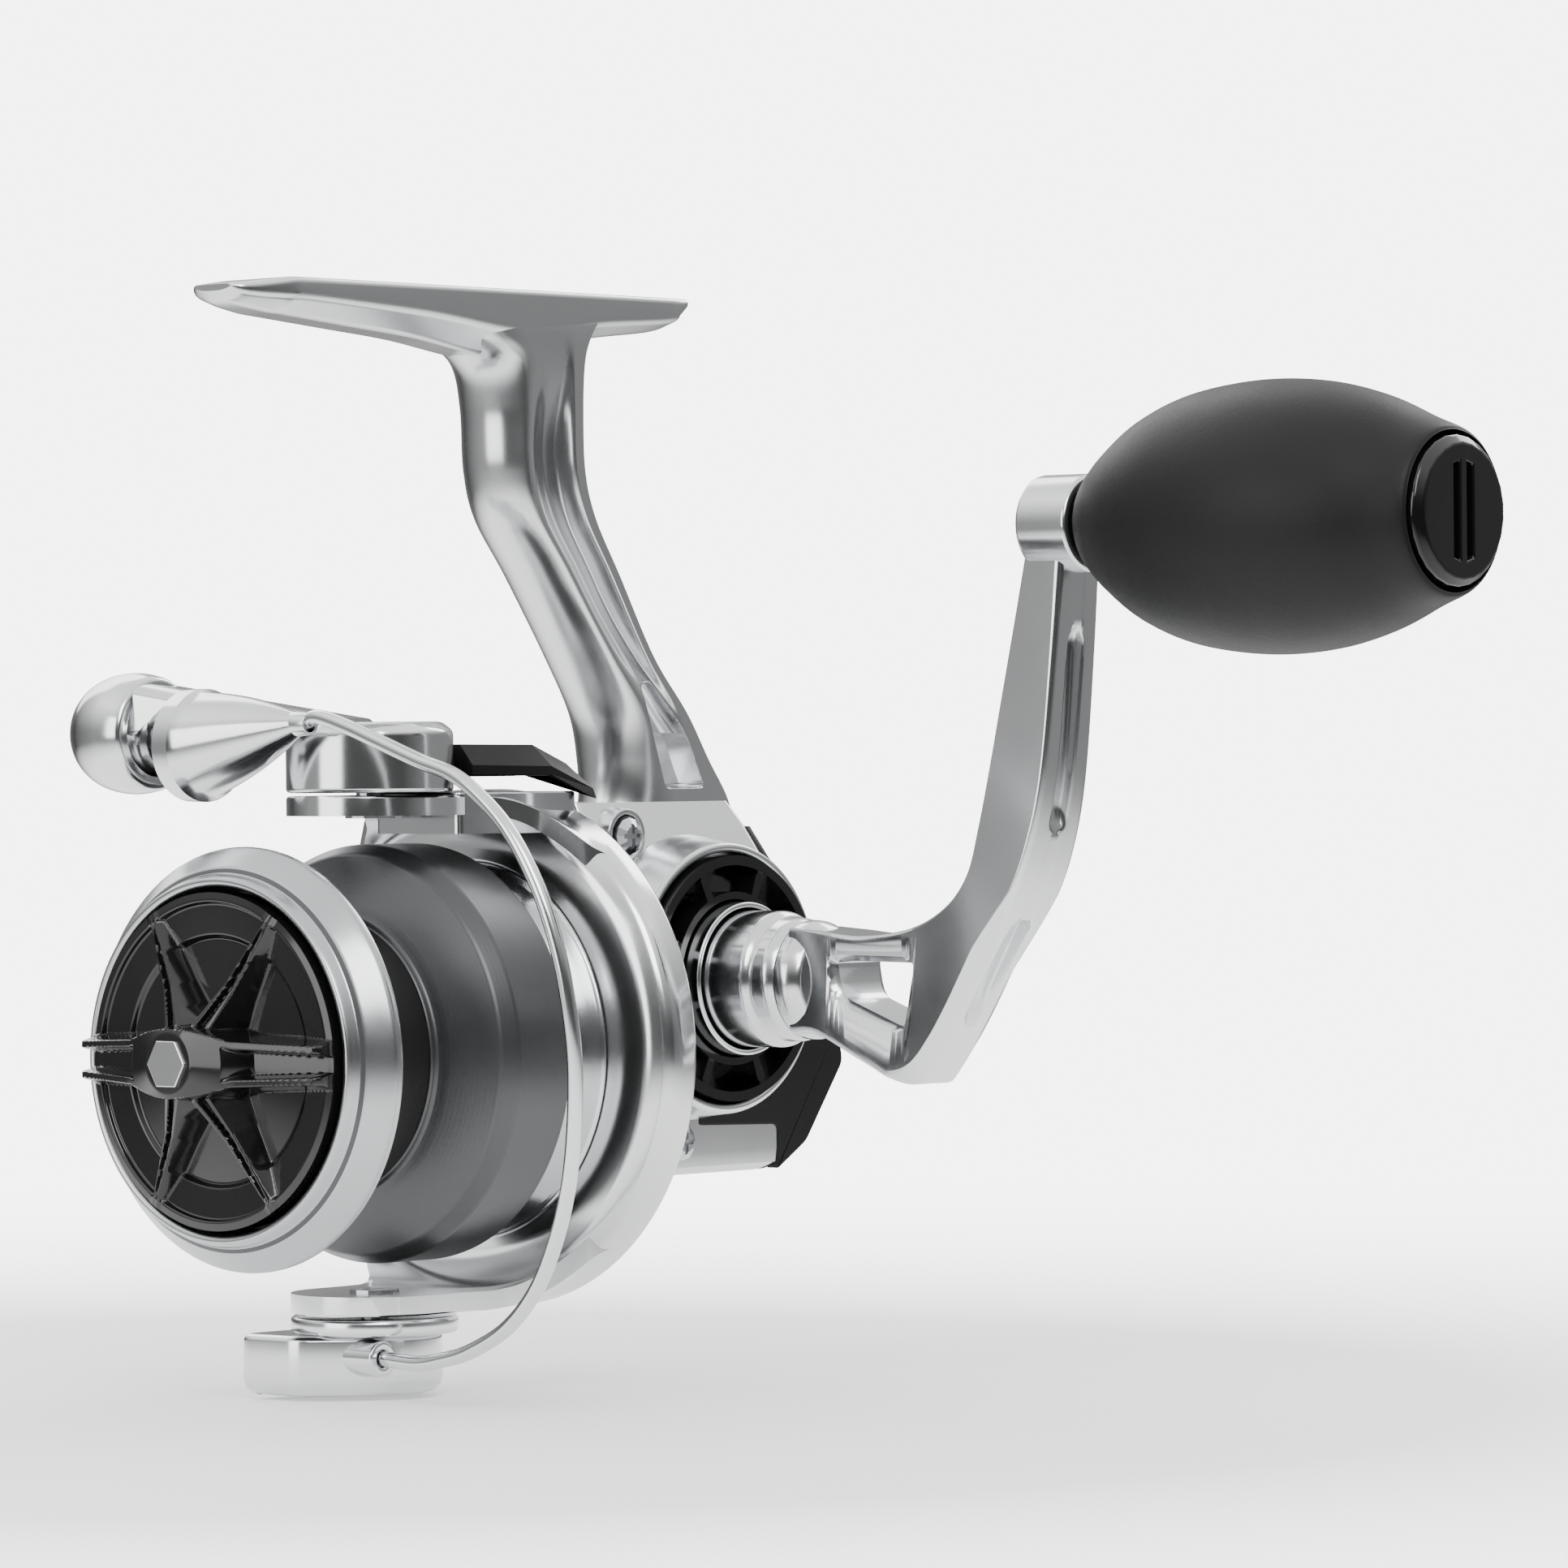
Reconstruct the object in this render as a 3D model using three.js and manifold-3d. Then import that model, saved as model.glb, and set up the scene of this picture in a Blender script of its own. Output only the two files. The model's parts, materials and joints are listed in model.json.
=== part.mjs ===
// A fixed-spool ("spinning") fishing reel as an assembly of separate pieces.
//
// The reel is laid out with its spool axis on the X axis: the spool's nose points to -X, the handle
// side is -Y and the rod foot is at +Z. Lengths are millimetres. At the end the whole group is moved
// so that the seat point on the foot's flat top is the origin.

import * as THREE from 'three';
import { mergeVertices } from 'three/addons/utils/BufferGeometryUtils.js';
import Module from 'manifold-3d';

const wasm = await Module();
wasm.setup();

// ---------------------------------------------------------------- driving dimensions

const GAP = 0.3;                  // clearance between neighbouring pieces
const ROUND = 26;                 // facets round a large, medium and small turned piece
const MEDIUM = 16;
const SMALL = 12;

const LIP_R = 22;                 // spool lip and skirt radius
const ARBOR_R = 14.7;             // radius that the line is wound on
const ARBOR_WIDTH = 11;           // clear width between lip and rear flange
const SKIRT_LENGTH = 7.8;         // straight part of the skirt
const NOSE_RING_R = 19;           // front ring of the spool
const CAVITY_R = 12.6;            // drag washer cavity
const STROKE = 5;                 // the spool travels this far either way
const SHAFT_R = 2;                // main shaft

const DRIVE_X = 56.5;             // handle and drive gear axis
const DRIVE_Z = 7.06;
const DRIVE_SHAFT_R = 3.3;
const STUB_R = 2.1;               // six-sided stub of the handle, inside the drive shaft
const DRIVE_GEAR_R = 10.6;
const DRIVE_TEETH = 37;
const PINION_TEETH = 7;
const PINION_R = 3.2;
const OSC_MODULE = 0.6;           // tooth module of the oscillation gears
const OSC_DRIVE_TEETH = 13;
const OSC_TEETH = 28;

const BODY_HALF = 11;             // half width of the gear case
const CASE_FRONT = 43.8;
const CASE_TOP = 26;
const WALL = 1.6;
const SPLIT_Y = -2.5;             // plane where the side cover meets the body
const BOSS_R = 14.5;              // round boss on the side cover
const BOSS_Y = -16.6;
const REAR_COVER_T = 2.2;

const SEAT_HEIGHT = 80.7;         // from the spool axis to the foot's flat top
const SEAT_X = 13.5;              // seat point, measured from the spool lip
const FOOT_HALF = 5.6;            // half width of foot and stem
const FOOT_FRONT = -3.9;
const FOOT_REAR = 63.9;

const PIVOT_X = 18.7;             // bail pivots, on a line parallel to Z
const PIVOT_R = 8.8;
const ARM_INNER_Z = LIP_R + 3;    // inner face of the rotor arm ends
const ARM_T = 2.1;
const RING_R = LIP_R + 5.6;       // rotor ring
const RING_REAR = 39.2;
const LEVER_T = 5.6;              // pivot boss of the bail arm
const ROLLER_X = 6.5;             // line roller axis, parallel to Y
const ROLLER_Z = ARM_INNER_Z + 8.3;
const BALL_Y = 23.0;
const BALL_R = 6.4;
const WIRE_R = 0.8;

const HANDLE_REACH = 47.5;        // drive axis to knob axis
const COLLAR_R = 7.3;
const HUB_Y = -28.4;              // outer end of the collar, where the handle arm starts
const ARM_OUT_Y = -60.9;          // inner face of the boss that carries the knob
const KNOB_Z = DRIVE_Z + HANDLE_REACH;
const KNOB_LENGTH = 45.2;
const KNOB_R = 13.9;

// ---------------------------------------------------------------- finishes

const finish = (color, roughness, metalness) => new THREE.MeshStandardMaterial({ color, roughness, metalness });
const CHROME = finish(0xdfe1e3, 0.12, 1.0);
const POLISHED = finish(0xd2d4d6, 0.22, 1.0);
const STEEL = finish(0xb9bcc0, 0.35, 1.0);
const BRASS = finish(0xc2a35a, 0.35, 1.0);
const SPOOL_GREY = finish(0x6d6f72, 0.42, 0.85);
const GLOSS_BLACK = finish(0x0c0c0d, 0.12, 0.0);
const SATIN_BLACK = finish(0x2c2d2f, 0.45, 0.0);
const SOFT_BLACK = finish(0x3a3b3d, 0.8, 0.0);
const FELT = finish(0x4a4238, 0.95, 0.0);
const NYLON = finish(0xd8d4c6, 0.6, 0.0);

// ---------------------------------------------------------------- solids

// A closed geometry becomes a manifold solid with its faces outwards.
function solid(geometry) {
  geometry.deleteAttribute('normal');
  geometry.deleteAttribute('uv');
  const merged = mergeVertices(geometry, 1e-4);
  const vertProperties = new Float32Array(merged.attributes.position.array);
  const triVerts = new Uint32Array(merged.index.array);
  let volume = 0;
  const a = new THREE.Vector3();
  const b = new THREE.Vector3();
  const c = new THREE.Vector3();
  for (let i = 0; i < triVerts.length; i += 3) {
    a.fromArray(vertProperties, 3 * triVerts[i]);
    b.fromArray(vertProperties, 3 * triVerts[i + 1]);
    c.fromArray(vertProperties, 3 * triVerts[i + 2]);
    volume += a.dot(b.cross(c));
  }
  if (volume < 0) {
    for (let i = 0; i < triVerts.length; i += 3) {
      [triVerts[i + 1], triVerts[i + 2]] = [triVerts[i + 2], triVerts[i + 1]];
    }
  }
  const mesh = new wasm.Mesh({ numProp: 3, vertProperties, triVerts });
  return new wasm.Manifold(mesh);
}

function geometryOf(manifold) {
  const out = manifold.getMesh();
  const geometry = new THREE.BufferGeometry();
  geometry.setAttribute('position', new THREE.BufferAttribute(new Float32Array(out.vertProperties), 3));
  geometry.setIndex(new THREE.BufferAttribute(new Uint32Array(out.triVerts), 1));
  geometry.computeVertexNormals();
  return geometry;
}

// Axes a round or flat piece can be built on. Each matrix takes the builder's own Y (round) or
// Z (flat) to the wanted axis.
const ROUND_TO = {
  X: new THREE.Matrix4().makeRotationZ(-Math.PI / 2),
  Y: new THREE.Matrix4(),
  Z: new THREE.Matrix4().makeRotationX(Math.PI / 2),
};

// A turned piece: profile is a loop of [axial, radius] points.
function turned(axis, centre, profile, segments = MEDIUM) {
  const loop = profile.map(([axial, radius]) => new THREE.Vector2(radius, axial));
  loop.push(loop[0].clone());
  const geometry = new THREE.LatheGeometry(loop, segments);
  geometry.applyMatrix4(ROUND_TO[axis]);
  geometry.translate(...centre);
  return solid(geometry);
}

// A ring or tube between two axial positions; inner radius 0 makes a rod.
function ring(axis, centre, from, to, outer, inner = 0, segments = MEDIUM) {
  return turned(axis, centre, [[from, inner], [from, outer], [to, outer], [to, inner]], segments);
}

function shapeOf(points) {
  return new THREE.Shape(points.map(([x, y]) => new THREE.Vector2(x, y)));
}

// Flat pieces: an outline in one plane, given thickness along the third axis.
function plateXY(points, z0, z1) {
  const geometry = new THREE.ExtrudeGeometry(shapeOf(points), { depth: z1 - z0, bevelEnabled: false });
  geometry.translate(0, 0, z0);
  return solid(geometry);
}

function plateXZ(points, y0, y1, bevel = 0) {
  const depth = y1 - y0 - 2 * bevel;
  const options = { depth, bevelEnabled: bevel > 0, bevelSize: bevel, bevelThickness: bevel, bevelSegments: 1,
    bevelOffset: -bevel };
  const geometry = new THREE.ExtrudeGeometry(shapeOf(points), options);
  geometry.rotateX(Math.PI / 2);
  geometry.translate(0, y1 - bevel, 0);
  return solid(geometry);
}

function plateYZ(points, x0, x1) {
  const geometry = new THREE.ExtrudeGeometry(shapeOf(points), { depth: x1 - x0, bevelEnabled: false });
  geometry.applyMatrix4(new THREE.Matrix4().set(0, 0, 1, x0, 1, 0, 0, 0, 0, 1, 0, 0, 0, 0, 0, 1));
  return solid(geometry);
}

// A skin through rings of points that all have the same count, closed at both ends.
function loft(rings) {
  const count = rings[0].length;
  const positions = rings.flat(2);
  const index = [];
  for (let j = 0; j + 1 < rings.length; j += 1) {
    for (let i = 0; i < count; i += 1) {
      const next = (i + 1) % count;
      const here = j * count;
      const there = here + count;
      index.push(here + i, here + next, there + next, here + i, there + next, there + i);
    }
  }
  const last = (rings.length - 1) * count;
  for (let i = 1; i + 1 < count; i += 1) {
    index.push(0, i + 1, i, last, last + i, last + i + 1);
  }
  const geometry = new THREE.BufferGeometry();
  geometry.setAttribute('position', new THREE.Float32BufferAttribute(positions, 3));
  geometry.setIndex(index);
  return solid(geometry);
}

// A round bar along a curve.
function bar(curve, radius, steps, sides = 8) {
  const section = shapeOf(circle(0, 0, radius, sides));
  const geometry = new THREE.ExtrudeGeometry(section, { steps, bevelEnabled: false, extrudePath: curve });
  return solid(geometry);
}

function arc(cx, cy, radius, fromDeg, toDeg, steps) {
  const points = [];
  for (let i = 0; i <= steps; i += 1) {
    const angle = THREE.MathUtils.degToRad(fromDeg + (toDeg - fromDeg) * i / steps);
    points.push([cx + radius * Math.cos(angle), cy + radius * Math.sin(angle)]);
  }
  return points;
}

function circle(cx, cy, radius, steps = 24) {
  return arc(cx, cy, radius, 0, 360 * (1 - 1 / steps), steps - 1);
}

// Moves each edge of a convex anticlockwise outline inwards by d.
function inset(points, d) {
  const lines = points.map(([x, y], i) => {
    const [nextX, nextY] = points[(i + 1) % points.length];
    const length = Math.hypot(nextX - x, nextY - y);
    const nx = -(nextY - y) / length;
    const ny = (nextX - x) / length;
    return { nx, ny, c: nx * x + ny * y + d };
  });
  return lines.map((line, i) => {
    const before = lines[(i + lines.length - 1) % lines.length];
    const det = before.nx * line.ny - before.ny * line.nx;
    return [(before.c * line.ny - before.ny * line.c) / det, (before.nx * line.c - before.c * line.nx) / det];
  });
}

const moved = (manifold, x, y, z) => manifold.translate([x, y, z]);

function union(parts) {
  return parts.reduce((sum, part) => sum.add(part));
}

// A toothed outline: narrow trapezoid teeth that run with clearance.
function toothed(cx, cy, teeth, module, phaseDeg) {
  const pitch = 360 / teeth;
  const pitchR = module * teeth / 2;
  const steps = [[-0.24, -1.15], [-0.16, 0], [-0.07, 0.8], [0.07, 0.8], [0.16, 0], [0.24, -1.15]];
  const points = [];
  for (let i = 0; i < teeth; i += 1) {
    for (const [turn, height] of steps) {
      const angle = THREE.MathUtils.degToRad(phaseDeg + (i + turn) * pitch);
      const radius = pitchR + height * module;
      points.push([cx + radius * Math.cos(angle), cy + radius * Math.sin(angle)]);
    }
  }
  return points;
}

const reel = new THREE.Group();

function add(name, manifold, material) {
  const mesh = new THREE.Mesh(geometryOf(manifold), material);
  mesh.name = name;
  reel.add(mesh);
}

// ---------------------------------------------------------------- body: case, stem and foot

const SLOPE_Z = 16.5;             // above this height both sides of the case lean in to the stem
const RIDGE_Z = 26.5;
const RIDGE_HALF = 5.8;

function sloped(half, slopeZ, ridgeHalf) {
  const outline = [[-half, -20], [half, -20], [half, slopeZ], [ridgeHalf, RIDGE_Z], [-ridgeHalf, RIDGE_Z],
    [-half, slopeZ]];
  return plateYZ(outline, 30, 100);
}

const coverRear = [[70.4, -14.2], [75.6, -11.3], [82.4, -2.4], [81.6, 2.6], [74.8, 14.0], [66.8, 25.2]];
const caseOutline = [
  [CASE_FRONT, -11.5], [46.2, -13.9], [69.6, -14.2], [73.4, -11.9], [79.9, -2.9], [79.3, 2.1],
  [72.8, 12.9], [65.2, 23.6], [63.4, CASE_TOP], [CASE_FRONT, CASE_TOP],
];
const cavity = inset(caseOutline, WALL);
const DRIVE = [DRIVE_X, 0, DRIVE_Z];
const AXIS = [0, 0, 0];
const BEARING_R = 6.5;
const CASE_INNER = BODY_HALF - WALL;
const NOSE_FRONT = 36.2;
const NOSE_R = 10.8;
const CLUTCH_R = 8.1;
const FLANGE_R = RING_R - 2.9;
const FLANGE_FRONT = RING_REAR + 0.6;
const FLANGE_REAR = 41.4;
const OSC_R = OSC_MODULE * OSC_TEETH / 2;
const OSC_DISTANCE = OSC_MODULE * (OSC_TEETH + OSC_DRIVE_TEETH) / 2;
const OSC_X = DRIVE_X + Math.sqrt(OSC_DISTANCE ** 2 - DRIVE_Z ** 2);
const OSC_GEAR = [4.7, 7.5];
const OSC_POST_R = 0.9;

// Stem sections from the foot down: height, front of the rounded nose, front of the flat side,
// rear face, and how square the nose is.
function stemSection([z, nose, side, rear, halfNose]) {
  const points = [[rear, -FOOT_HALF, z], [rear, FOOT_HALF, z], [side, FOOT_HALF, z]];
  const steps = 5;
  for (let i = 0; i <= steps; i += 1) {
    const angle = Math.PI / 2 - Math.PI * i / steps;
    points.push([nose + (side - nose) * 0.35 * (1 - Math.cos(angle)), halfNose * Math.sin(angle), z]);
  }
  points.push([side, -FOOT_HALF, z]);
  return points;
}

function makeStem() {
  const top = SEAT_HEIGHT;
  const sections = [
    [top - 3.0, 26.4, 37.6, 48.2, 4.6], [top - 4.5, 28.1, 38.9, 48.0, 4.6], [top - 7.7, 34.0, 43.6, 46.9, 5.0],
    [top - 12.4, 35.7, 45.0, 46.8, 5.1], [top - 19.1, 36.2, 45.3, 47.0, 5.1], [top - 24.2, 37.9, 46.0, 48.6, 4.4],
    [top - 30.3, 42.8, 47.4, 52.3, 3.2],
    [top - 39.0, 49.2, 51.3, 57.6, 2.8], [top - 45.1, 52.8, 54.8, 63.2, 2.8], [top - 50.2, 53.6, 56.4, 66.6, 2.8],
    [CASE_TOP + 0.6, 53.6, 56.4, 69.6, 2.8], [CASE_TOP - 2.8, 53.6, 56.4, 71.2, 2.8],
  ];
  let stem = loft(sections.map(stemSection).reverse());
  const pocket = [[56.9, 40.5], [56.6, 38.4], [58.5, 31.1], [59.6, 27.6], [64.4, 27.6], [65.2, 28.8],
    [64.2, 33.4], [58.4, 40.5]];
  const depth = 3.6;
  stem = stem.subtract(plateXZ(pocket, -FOOT_HALF - 1, -FOOT_HALF + depth));
  stem = stem.subtract(plateXZ(pocket, FOOT_HALF - depth, FOOT_HALF + 1));
  return stem;
}

// Foot sections along X: half width, top, lower edge of the side, and keel height.
function footSection([x, half, top, side, keel]) {
  const flat = 0.45 * half;
  return [[x, -half, top], [x, half, top], [x, half, side], [x, flat, keel], [x, -flat, keel], [x, -half, side]];
}

function makeFoot() {
  const top = SEAT_HEIGHT;
  const sections = [
    [FOOT_FRONT, 2.4, top - 0.9, top - 1.3, top - 1.7], [FOOT_FRONT + 1.8, 4.0, top - 1.0, top - 2.1, top - 2.9],
    [FOOT_FRONT + 5.6, 5.2, top - 0.6, top - 2.2, top - 3.6], [5.0, FOOT_HALF, top, top - 2.1, top - 3.9],
    [24.0, FOOT_HALF, top, top - 3.2, top - 5.6], [36.0, FOOT_HALF, top, top - 4.5, top - 7.4],
    [48.8, FOOT_HALF, top, top - 3.4, top - 5.0], [FOOT_REAR - 3.3, FOOT_HALF - 0.1, top, top - 2.6, top - 3.6],
    [FOOT_REAR, FOOT_HALF - 0.6, top, top - 1.1, top - 1.5],
  ];
  const foot = loft(sections.map(footSection));
  const wedge = [[24.0, top + 0.02], [45.7, top - 2.4], [48.8, top + 0.02]];
  return foot.subtract(plateXZ(wedge, -FOOT_HALF - 1, FOOT_HALF - 1.4));
}

const outerSlopes = () => sloped(BODY_HALF, SLOPE_Z, RIDGE_HALF);
const innerSlopes = () => sloped(CASE_INNER, SLOPE_Z - 0.6, RIDGE_HALF - WALL);

// Space kept for the ridge that runs from the case up into the stem.
const ridgeSpace = () => plateXZ([[CASE_FRONT - 1, 23.3], [60, 22.1], [71.9, 22.9], [70.2, 27], [66, 40],
  [CASE_FRONT - 1, 40]], -FOOT_HALF - GAP, FOOT_HALF + GAP);

function makeBody() {
  const hollow = plateXZ(cavity, SPLIT_Y - 1, CASE_INNER).intersect(innerSlopes());
  const shell = plateXZ(caseOutline, SPLIT_Y, BODY_HALF, 0.01).intersect(outerSlopes()).subtract(hollow);
  const roof = plateXZ([[45.4, 23.6], [60, 22.4], [60, CASE_TOP + 0.6], [54.5, CASE_TOP + 0.2], [45.4, CASE_TOP - 0.3]],
    -FOOT_HALF, FOOT_HALF);
  const front = ring('X', AXIS, FLANGE_FRONT, FLANGE_REAR, FLANGE_R, CLUTCH_R + GAP, ROUND);
  const neck = ring('X', AXIS, FLANGE_REAR - 0.1, CASE_FRONT + 0.1, NOSE_R, BEARING_R + GAP, ROUND);
  const nose = ring('X', AXIS, NOSE_FRONT, FLANGE_FRONT + 0.1, NOSE_R, CLUTCH_R + GAP, ROUND);
  const farBoss = ring('Y', DRIVE, CASE_INNER, BODY_HALF + 1.8, BEARING_R + 2.4, 0, MEDIUM);
  const post = ring('Y', [OSC_X, 0, 0], OSC_GEAR[0] - 0.1, CASE_INNER + 0.1, OSC_POST_R, 0, 12);
  const bushRib = plateXZ([[54.9, -3], [57.1, -3], [57.1, 2.6], [54.9, 2.6]], PINION_R + GAP, CASE_INNER + 0.1);
  const coverSpace = [[CASE_FRONT + 0.1, -30], [100, -30], [100, CASE_TOP], [CASE_FRONT + 0.1, CASE_TOP]];
  let body = union([shell, front, neck, nose, farBoss, post, bushRib]);
  body = body.subtract(plateXZ(coverSpace, -2 * BODY_HALF, SPLIT_Y));
  body = union([body, makeStem(), makeFoot(), roof]);
  body = body.subtract(ring('Y', DRIVE, OSC_GEAR[1], BODY_HALF + 3, BEARING_R + GAP, 0, MEDIUM));
  body = body.subtract(ring('X', AXIS, FLANGE_REAR - 1, CASE_FRONT + WALL + 1, BEARING_R + GAP, 0, MEDIUM));
  body = body.subtract(ring('X', AXIS, NOSE_FRONT - 1, FLANGE_REAR, CLUTCH_R + GAP, 0, MEDIUM));
  return body;
}

// The side cover closes the case on the handle side. Its round boss takes the bearing and the trim rings.
const CASTLE_R = 13.2;
const SCREWS = [[49.0, 22.4, -8.9], [54.8, -10.6, -BODY_HALF], [75.0, 3.5, -BODY_HALF]];
const SCREW_PAD_R = 2.9;
const SCREW_HEAD_R = 2.0;

// The black rear cover has a thin flap that lies in a recess of the side cover, below and behind the boss.
const FLAP = [[60.2, -8.9], [70.4, -9.3], [70.4, -14.2], [75.6, -11.3], [82.4, -2.4], [82.0, 0.5], [66.0, 0.5]];
const FLAP_T = 0.7;

function flap(y0, y1, grow) {
  const clear = ring('Y', DRIVE, -BODY_HALF - 5, 0, BOSS_R + 0.8 + GAP - grow, 0, ROUND);
  return plateXZ(inset(FLAP, -grow), y0, y1).subtract(clear);
}

function makeSideCover() {
  const seam = caseOutline.map(([x, z]) => [x, Math.min(z, CASE_TOP - 0.3)]);
  const hollow = plateXZ(cavity, -CASE_INNER, SPLIT_Y + 1).intersect(innerSlopes());
  const shell = plateXZ(seam, -BODY_HALF, SPLIT_Y - GAP, 0.01).intersect(outerSlopes()).subtract(hollow);
  const [padX, padZ, padY] = SCREWS[0];
  const pad = ring('Y', [padX, 0, padZ], padY, padY + 2.6, SCREW_PAD_R, 0, SMALL);
  const boss = turned('Y', DRIVE, [[-CASE_INNER, 0], [-CASE_INNER, BOSS_R + 0.8], [-BODY_HALF - 1.5, BOSS_R + 0.5],
    [BOSS_Y, BOSS_R], [BOSS_Y, 0]], ROUND);
  let cover = union([shell, boss, pad]).subtract(ridgeSpace());
  cover = cover.subtract(ring('Y', DRIVE, BOSS_Y - 1, -BODY_HALF - 1.2, CASTLE_R + GAP, 0, ROUND));
  cover = cover.subtract(ring('Y', DRIVE, -BODY_HALF - 2, -CASE_INNER + 1, BEARING_R + GAP, 0, MEDIUM));
  cover = cover.subtract(ring('X', AXIS, 0, FLANGE_REAR + GAP, 2 * FLANGE_R, 0, 8));
  cover = cover.subtract(ring('X', AXIS, 0, CASE_FRONT + GAP, NOSE_R + GAP, 0, ROUND));
  cover = cover.subtract(ring('X', AXIS, 0, CASE_FRONT + WALL + 1, BEARING_R + GAP, 0, MEDIUM));
  cover = cover.subtract(flap(-BODY_HALF - 1, -BODY_HALF + FLAP_T + GAP, GAP));
  for (const [x, z, y] of SCREWS) {
    cover = cover.subtract(ring('Y', [x, 0, z], y - 2, y + 0.9, SCREW_HEAD_R + GAP, 0, SMALL));
  }
  return cover;
}

function makeRearCover() {
  const inner = inset([...coverRear, [60, 25.2], [60, -14.2]], REAR_COVER_T - GAP).slice(0, coverRear.length);
  const outline = [...coverRear, ...inner.reverse()];
  outline[outline.length - 1] = [inner[inner.length - 1][0], coverRear[0][1]];
  outline[coverRear.length] = [outline[coverRear.length][0], coverRear[coverRear.length - 1][1]];
  const band = plateXZ(outline, -BODY_HALF + 0.6, BODY_HALF - 0.6);
  const leaning = sloped(BODY_HALF - 0.6, SLOPE_Z + 0.1, RIDGE_HALF - 0.2);
  const outside = band.subtract(plateXZ(inset(caseOutline, -GAP), -BODY_HALF - 2, BODY_HALF + 2));
  const wrap = outside.intersect(leaning).subtract(ridgeSpace());
  return wrap.add(flap(-BODY_HALF, -BODY_HALF + FLAP_T, 0));
}

function makeScrew(x, z, y) {
  const head = turned('Y', [x, 0, z], [[y + 0.6, 0], [y + 0.6, SCREW_HEAD_R], [y - 0.3, SCREW_HEAD_R],
    [y - 0.9, SCREW_HEAD_R * 0.55], [y - 0.9, 0]], SMALL);
  const slot = [[-1.3, -0.25], [1.3, -0.25], [1.3, 0.25], [-1.3, 0.25]];
  const across = plateXZ(slot.map(([a, b]) => [x + a, z + b]), y - 2, y - 0.45);
  const upright = plateXZ(slot.map(([a, b]) => [x + b, z - a]), y - 2, y - 0.45);
  return head.subtract(across).subtract(upright);
}

add('body_housing', makeBody(), POLISHED);
add('side_cover', makeSideCover(), POLISHED);
add('rear_cover', makeRearCover(), SATIN_BLACK);
['top', 'bottom', 'rear'].forEach((place, i) => {
  add(`cover_screw_${place}`, makeScrew(...SCREWS[i]), STEEL);
});

// Black castellated ring around the handle shaft, and the chrome seal ring inside it.
const SEAL_R = COLLAR_R + 0.9;

function makeCastleRing() {
  const base = ring('Y', DRIVE, -BODY_HALF - 1.2 - GAP, -BODY_HALF - 3, CASTLE_R, SEAL_R + GAP, ROUND);
  const rim = ring('Y', DRIVE, -BODY_HALF - 2.9, -17.4, CASTLE_R, CASTLE_R - 1.1, ROUND);
  const hub = ring('Y', DRIVE, -BODY_HALF - 2.9, -17.6, SEAL_R + 1.1, SEAL_R + GAP, ROUND);
  const spokes = [];
  for (let i = 0; i < 8; i += 1) {
    const spoke = plateXZ([[SEAL_R + 0.7, -0.6], [CASTLE_R - 0.6, -0.6], [CASTLE_R - 0.6, 0.6], [SEAL_R + 0.7, 0.6]],
      -17.2, -BODY_HALF - 2.9);
    spokes.push(moved(spoke.rotate([0, 22.5 + 45 * i, 0]), DRIVE_X, 0, DRIVE_Z));
  }
  return union([base, rim, hub, ...spokes]);
}

add('castle_ring', makeCastleRing(), GLOSS_BLACK);
add('seal_ring', ring('Y', DRIVE, -19.5, -BODY_HALF - 1.2 - GAP, SEAL_R, COLLAR_R + GAP, ROUND), CHROME);
add('drive_bearing_near', ring('Y', DRIVE, -BODY_HALF - 0.9, -CASE_INNER + 0.4, BEARING_R, DRIVE_SHAFT_R + GAP, MEDIUM), STEEL);
add('drive_bearing_far', ring('Y', DRIVE, OSC_GEAR[1] + 0.5, BODY_HALF - 0.2, BEARING_R, DRIVE_SHAFT_R + GAP, MEDIUM), STEEL);
add('far_side_cap', turned('Y', DRIVE, [[BODY_HALF + GAP, 0], [BODY_HALF + GAP, BEARING_R - 0.2],
  [BODY_HALF + 2.1, BEARING_R - 0.2], [BODY_HALF + 2.1, BEARING_R + 2.2], [BODY_HALF + 3.2, BEARING_R + 2.2],
  [BODY_HALF + 4.0, BEARING_R + 1.0], [BODY_HALF + 4.0, 0]], MEDIUM), SATIN_BLACK);

// ---------------------------------------------------------------- drive train

function makeDriveGear() {
  const disc = ring('Y', DRIVE, -6.6, -4.3, DRIVE_GEAR_R, DRIVE_SHAFT_R + GAP, 37);
  const teeth = [];
  const step = 360 / DRIVE_TEETH;
  for (let i = 0; i < DRIVE_TEETH; i += 1) {
    const tooth = plateXZ([[DRIVE_GEAR_R - 2.3, -0.3], [DRIVE_GEAR_R - 0.1, -0.38], [DRIVE_GEAR_R - 0.1, 0.38],
      [DRIVE_GEAR_R - 2.3, 0.3]], -4.4, -PINION_R - 0.2);
    teeth.push(moved(tooth.rotate([0, step * i, 0]), DRIVE_X, 0, DRIVE_Z));
  }
  return union([disc, ...teeth]);
}

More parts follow.
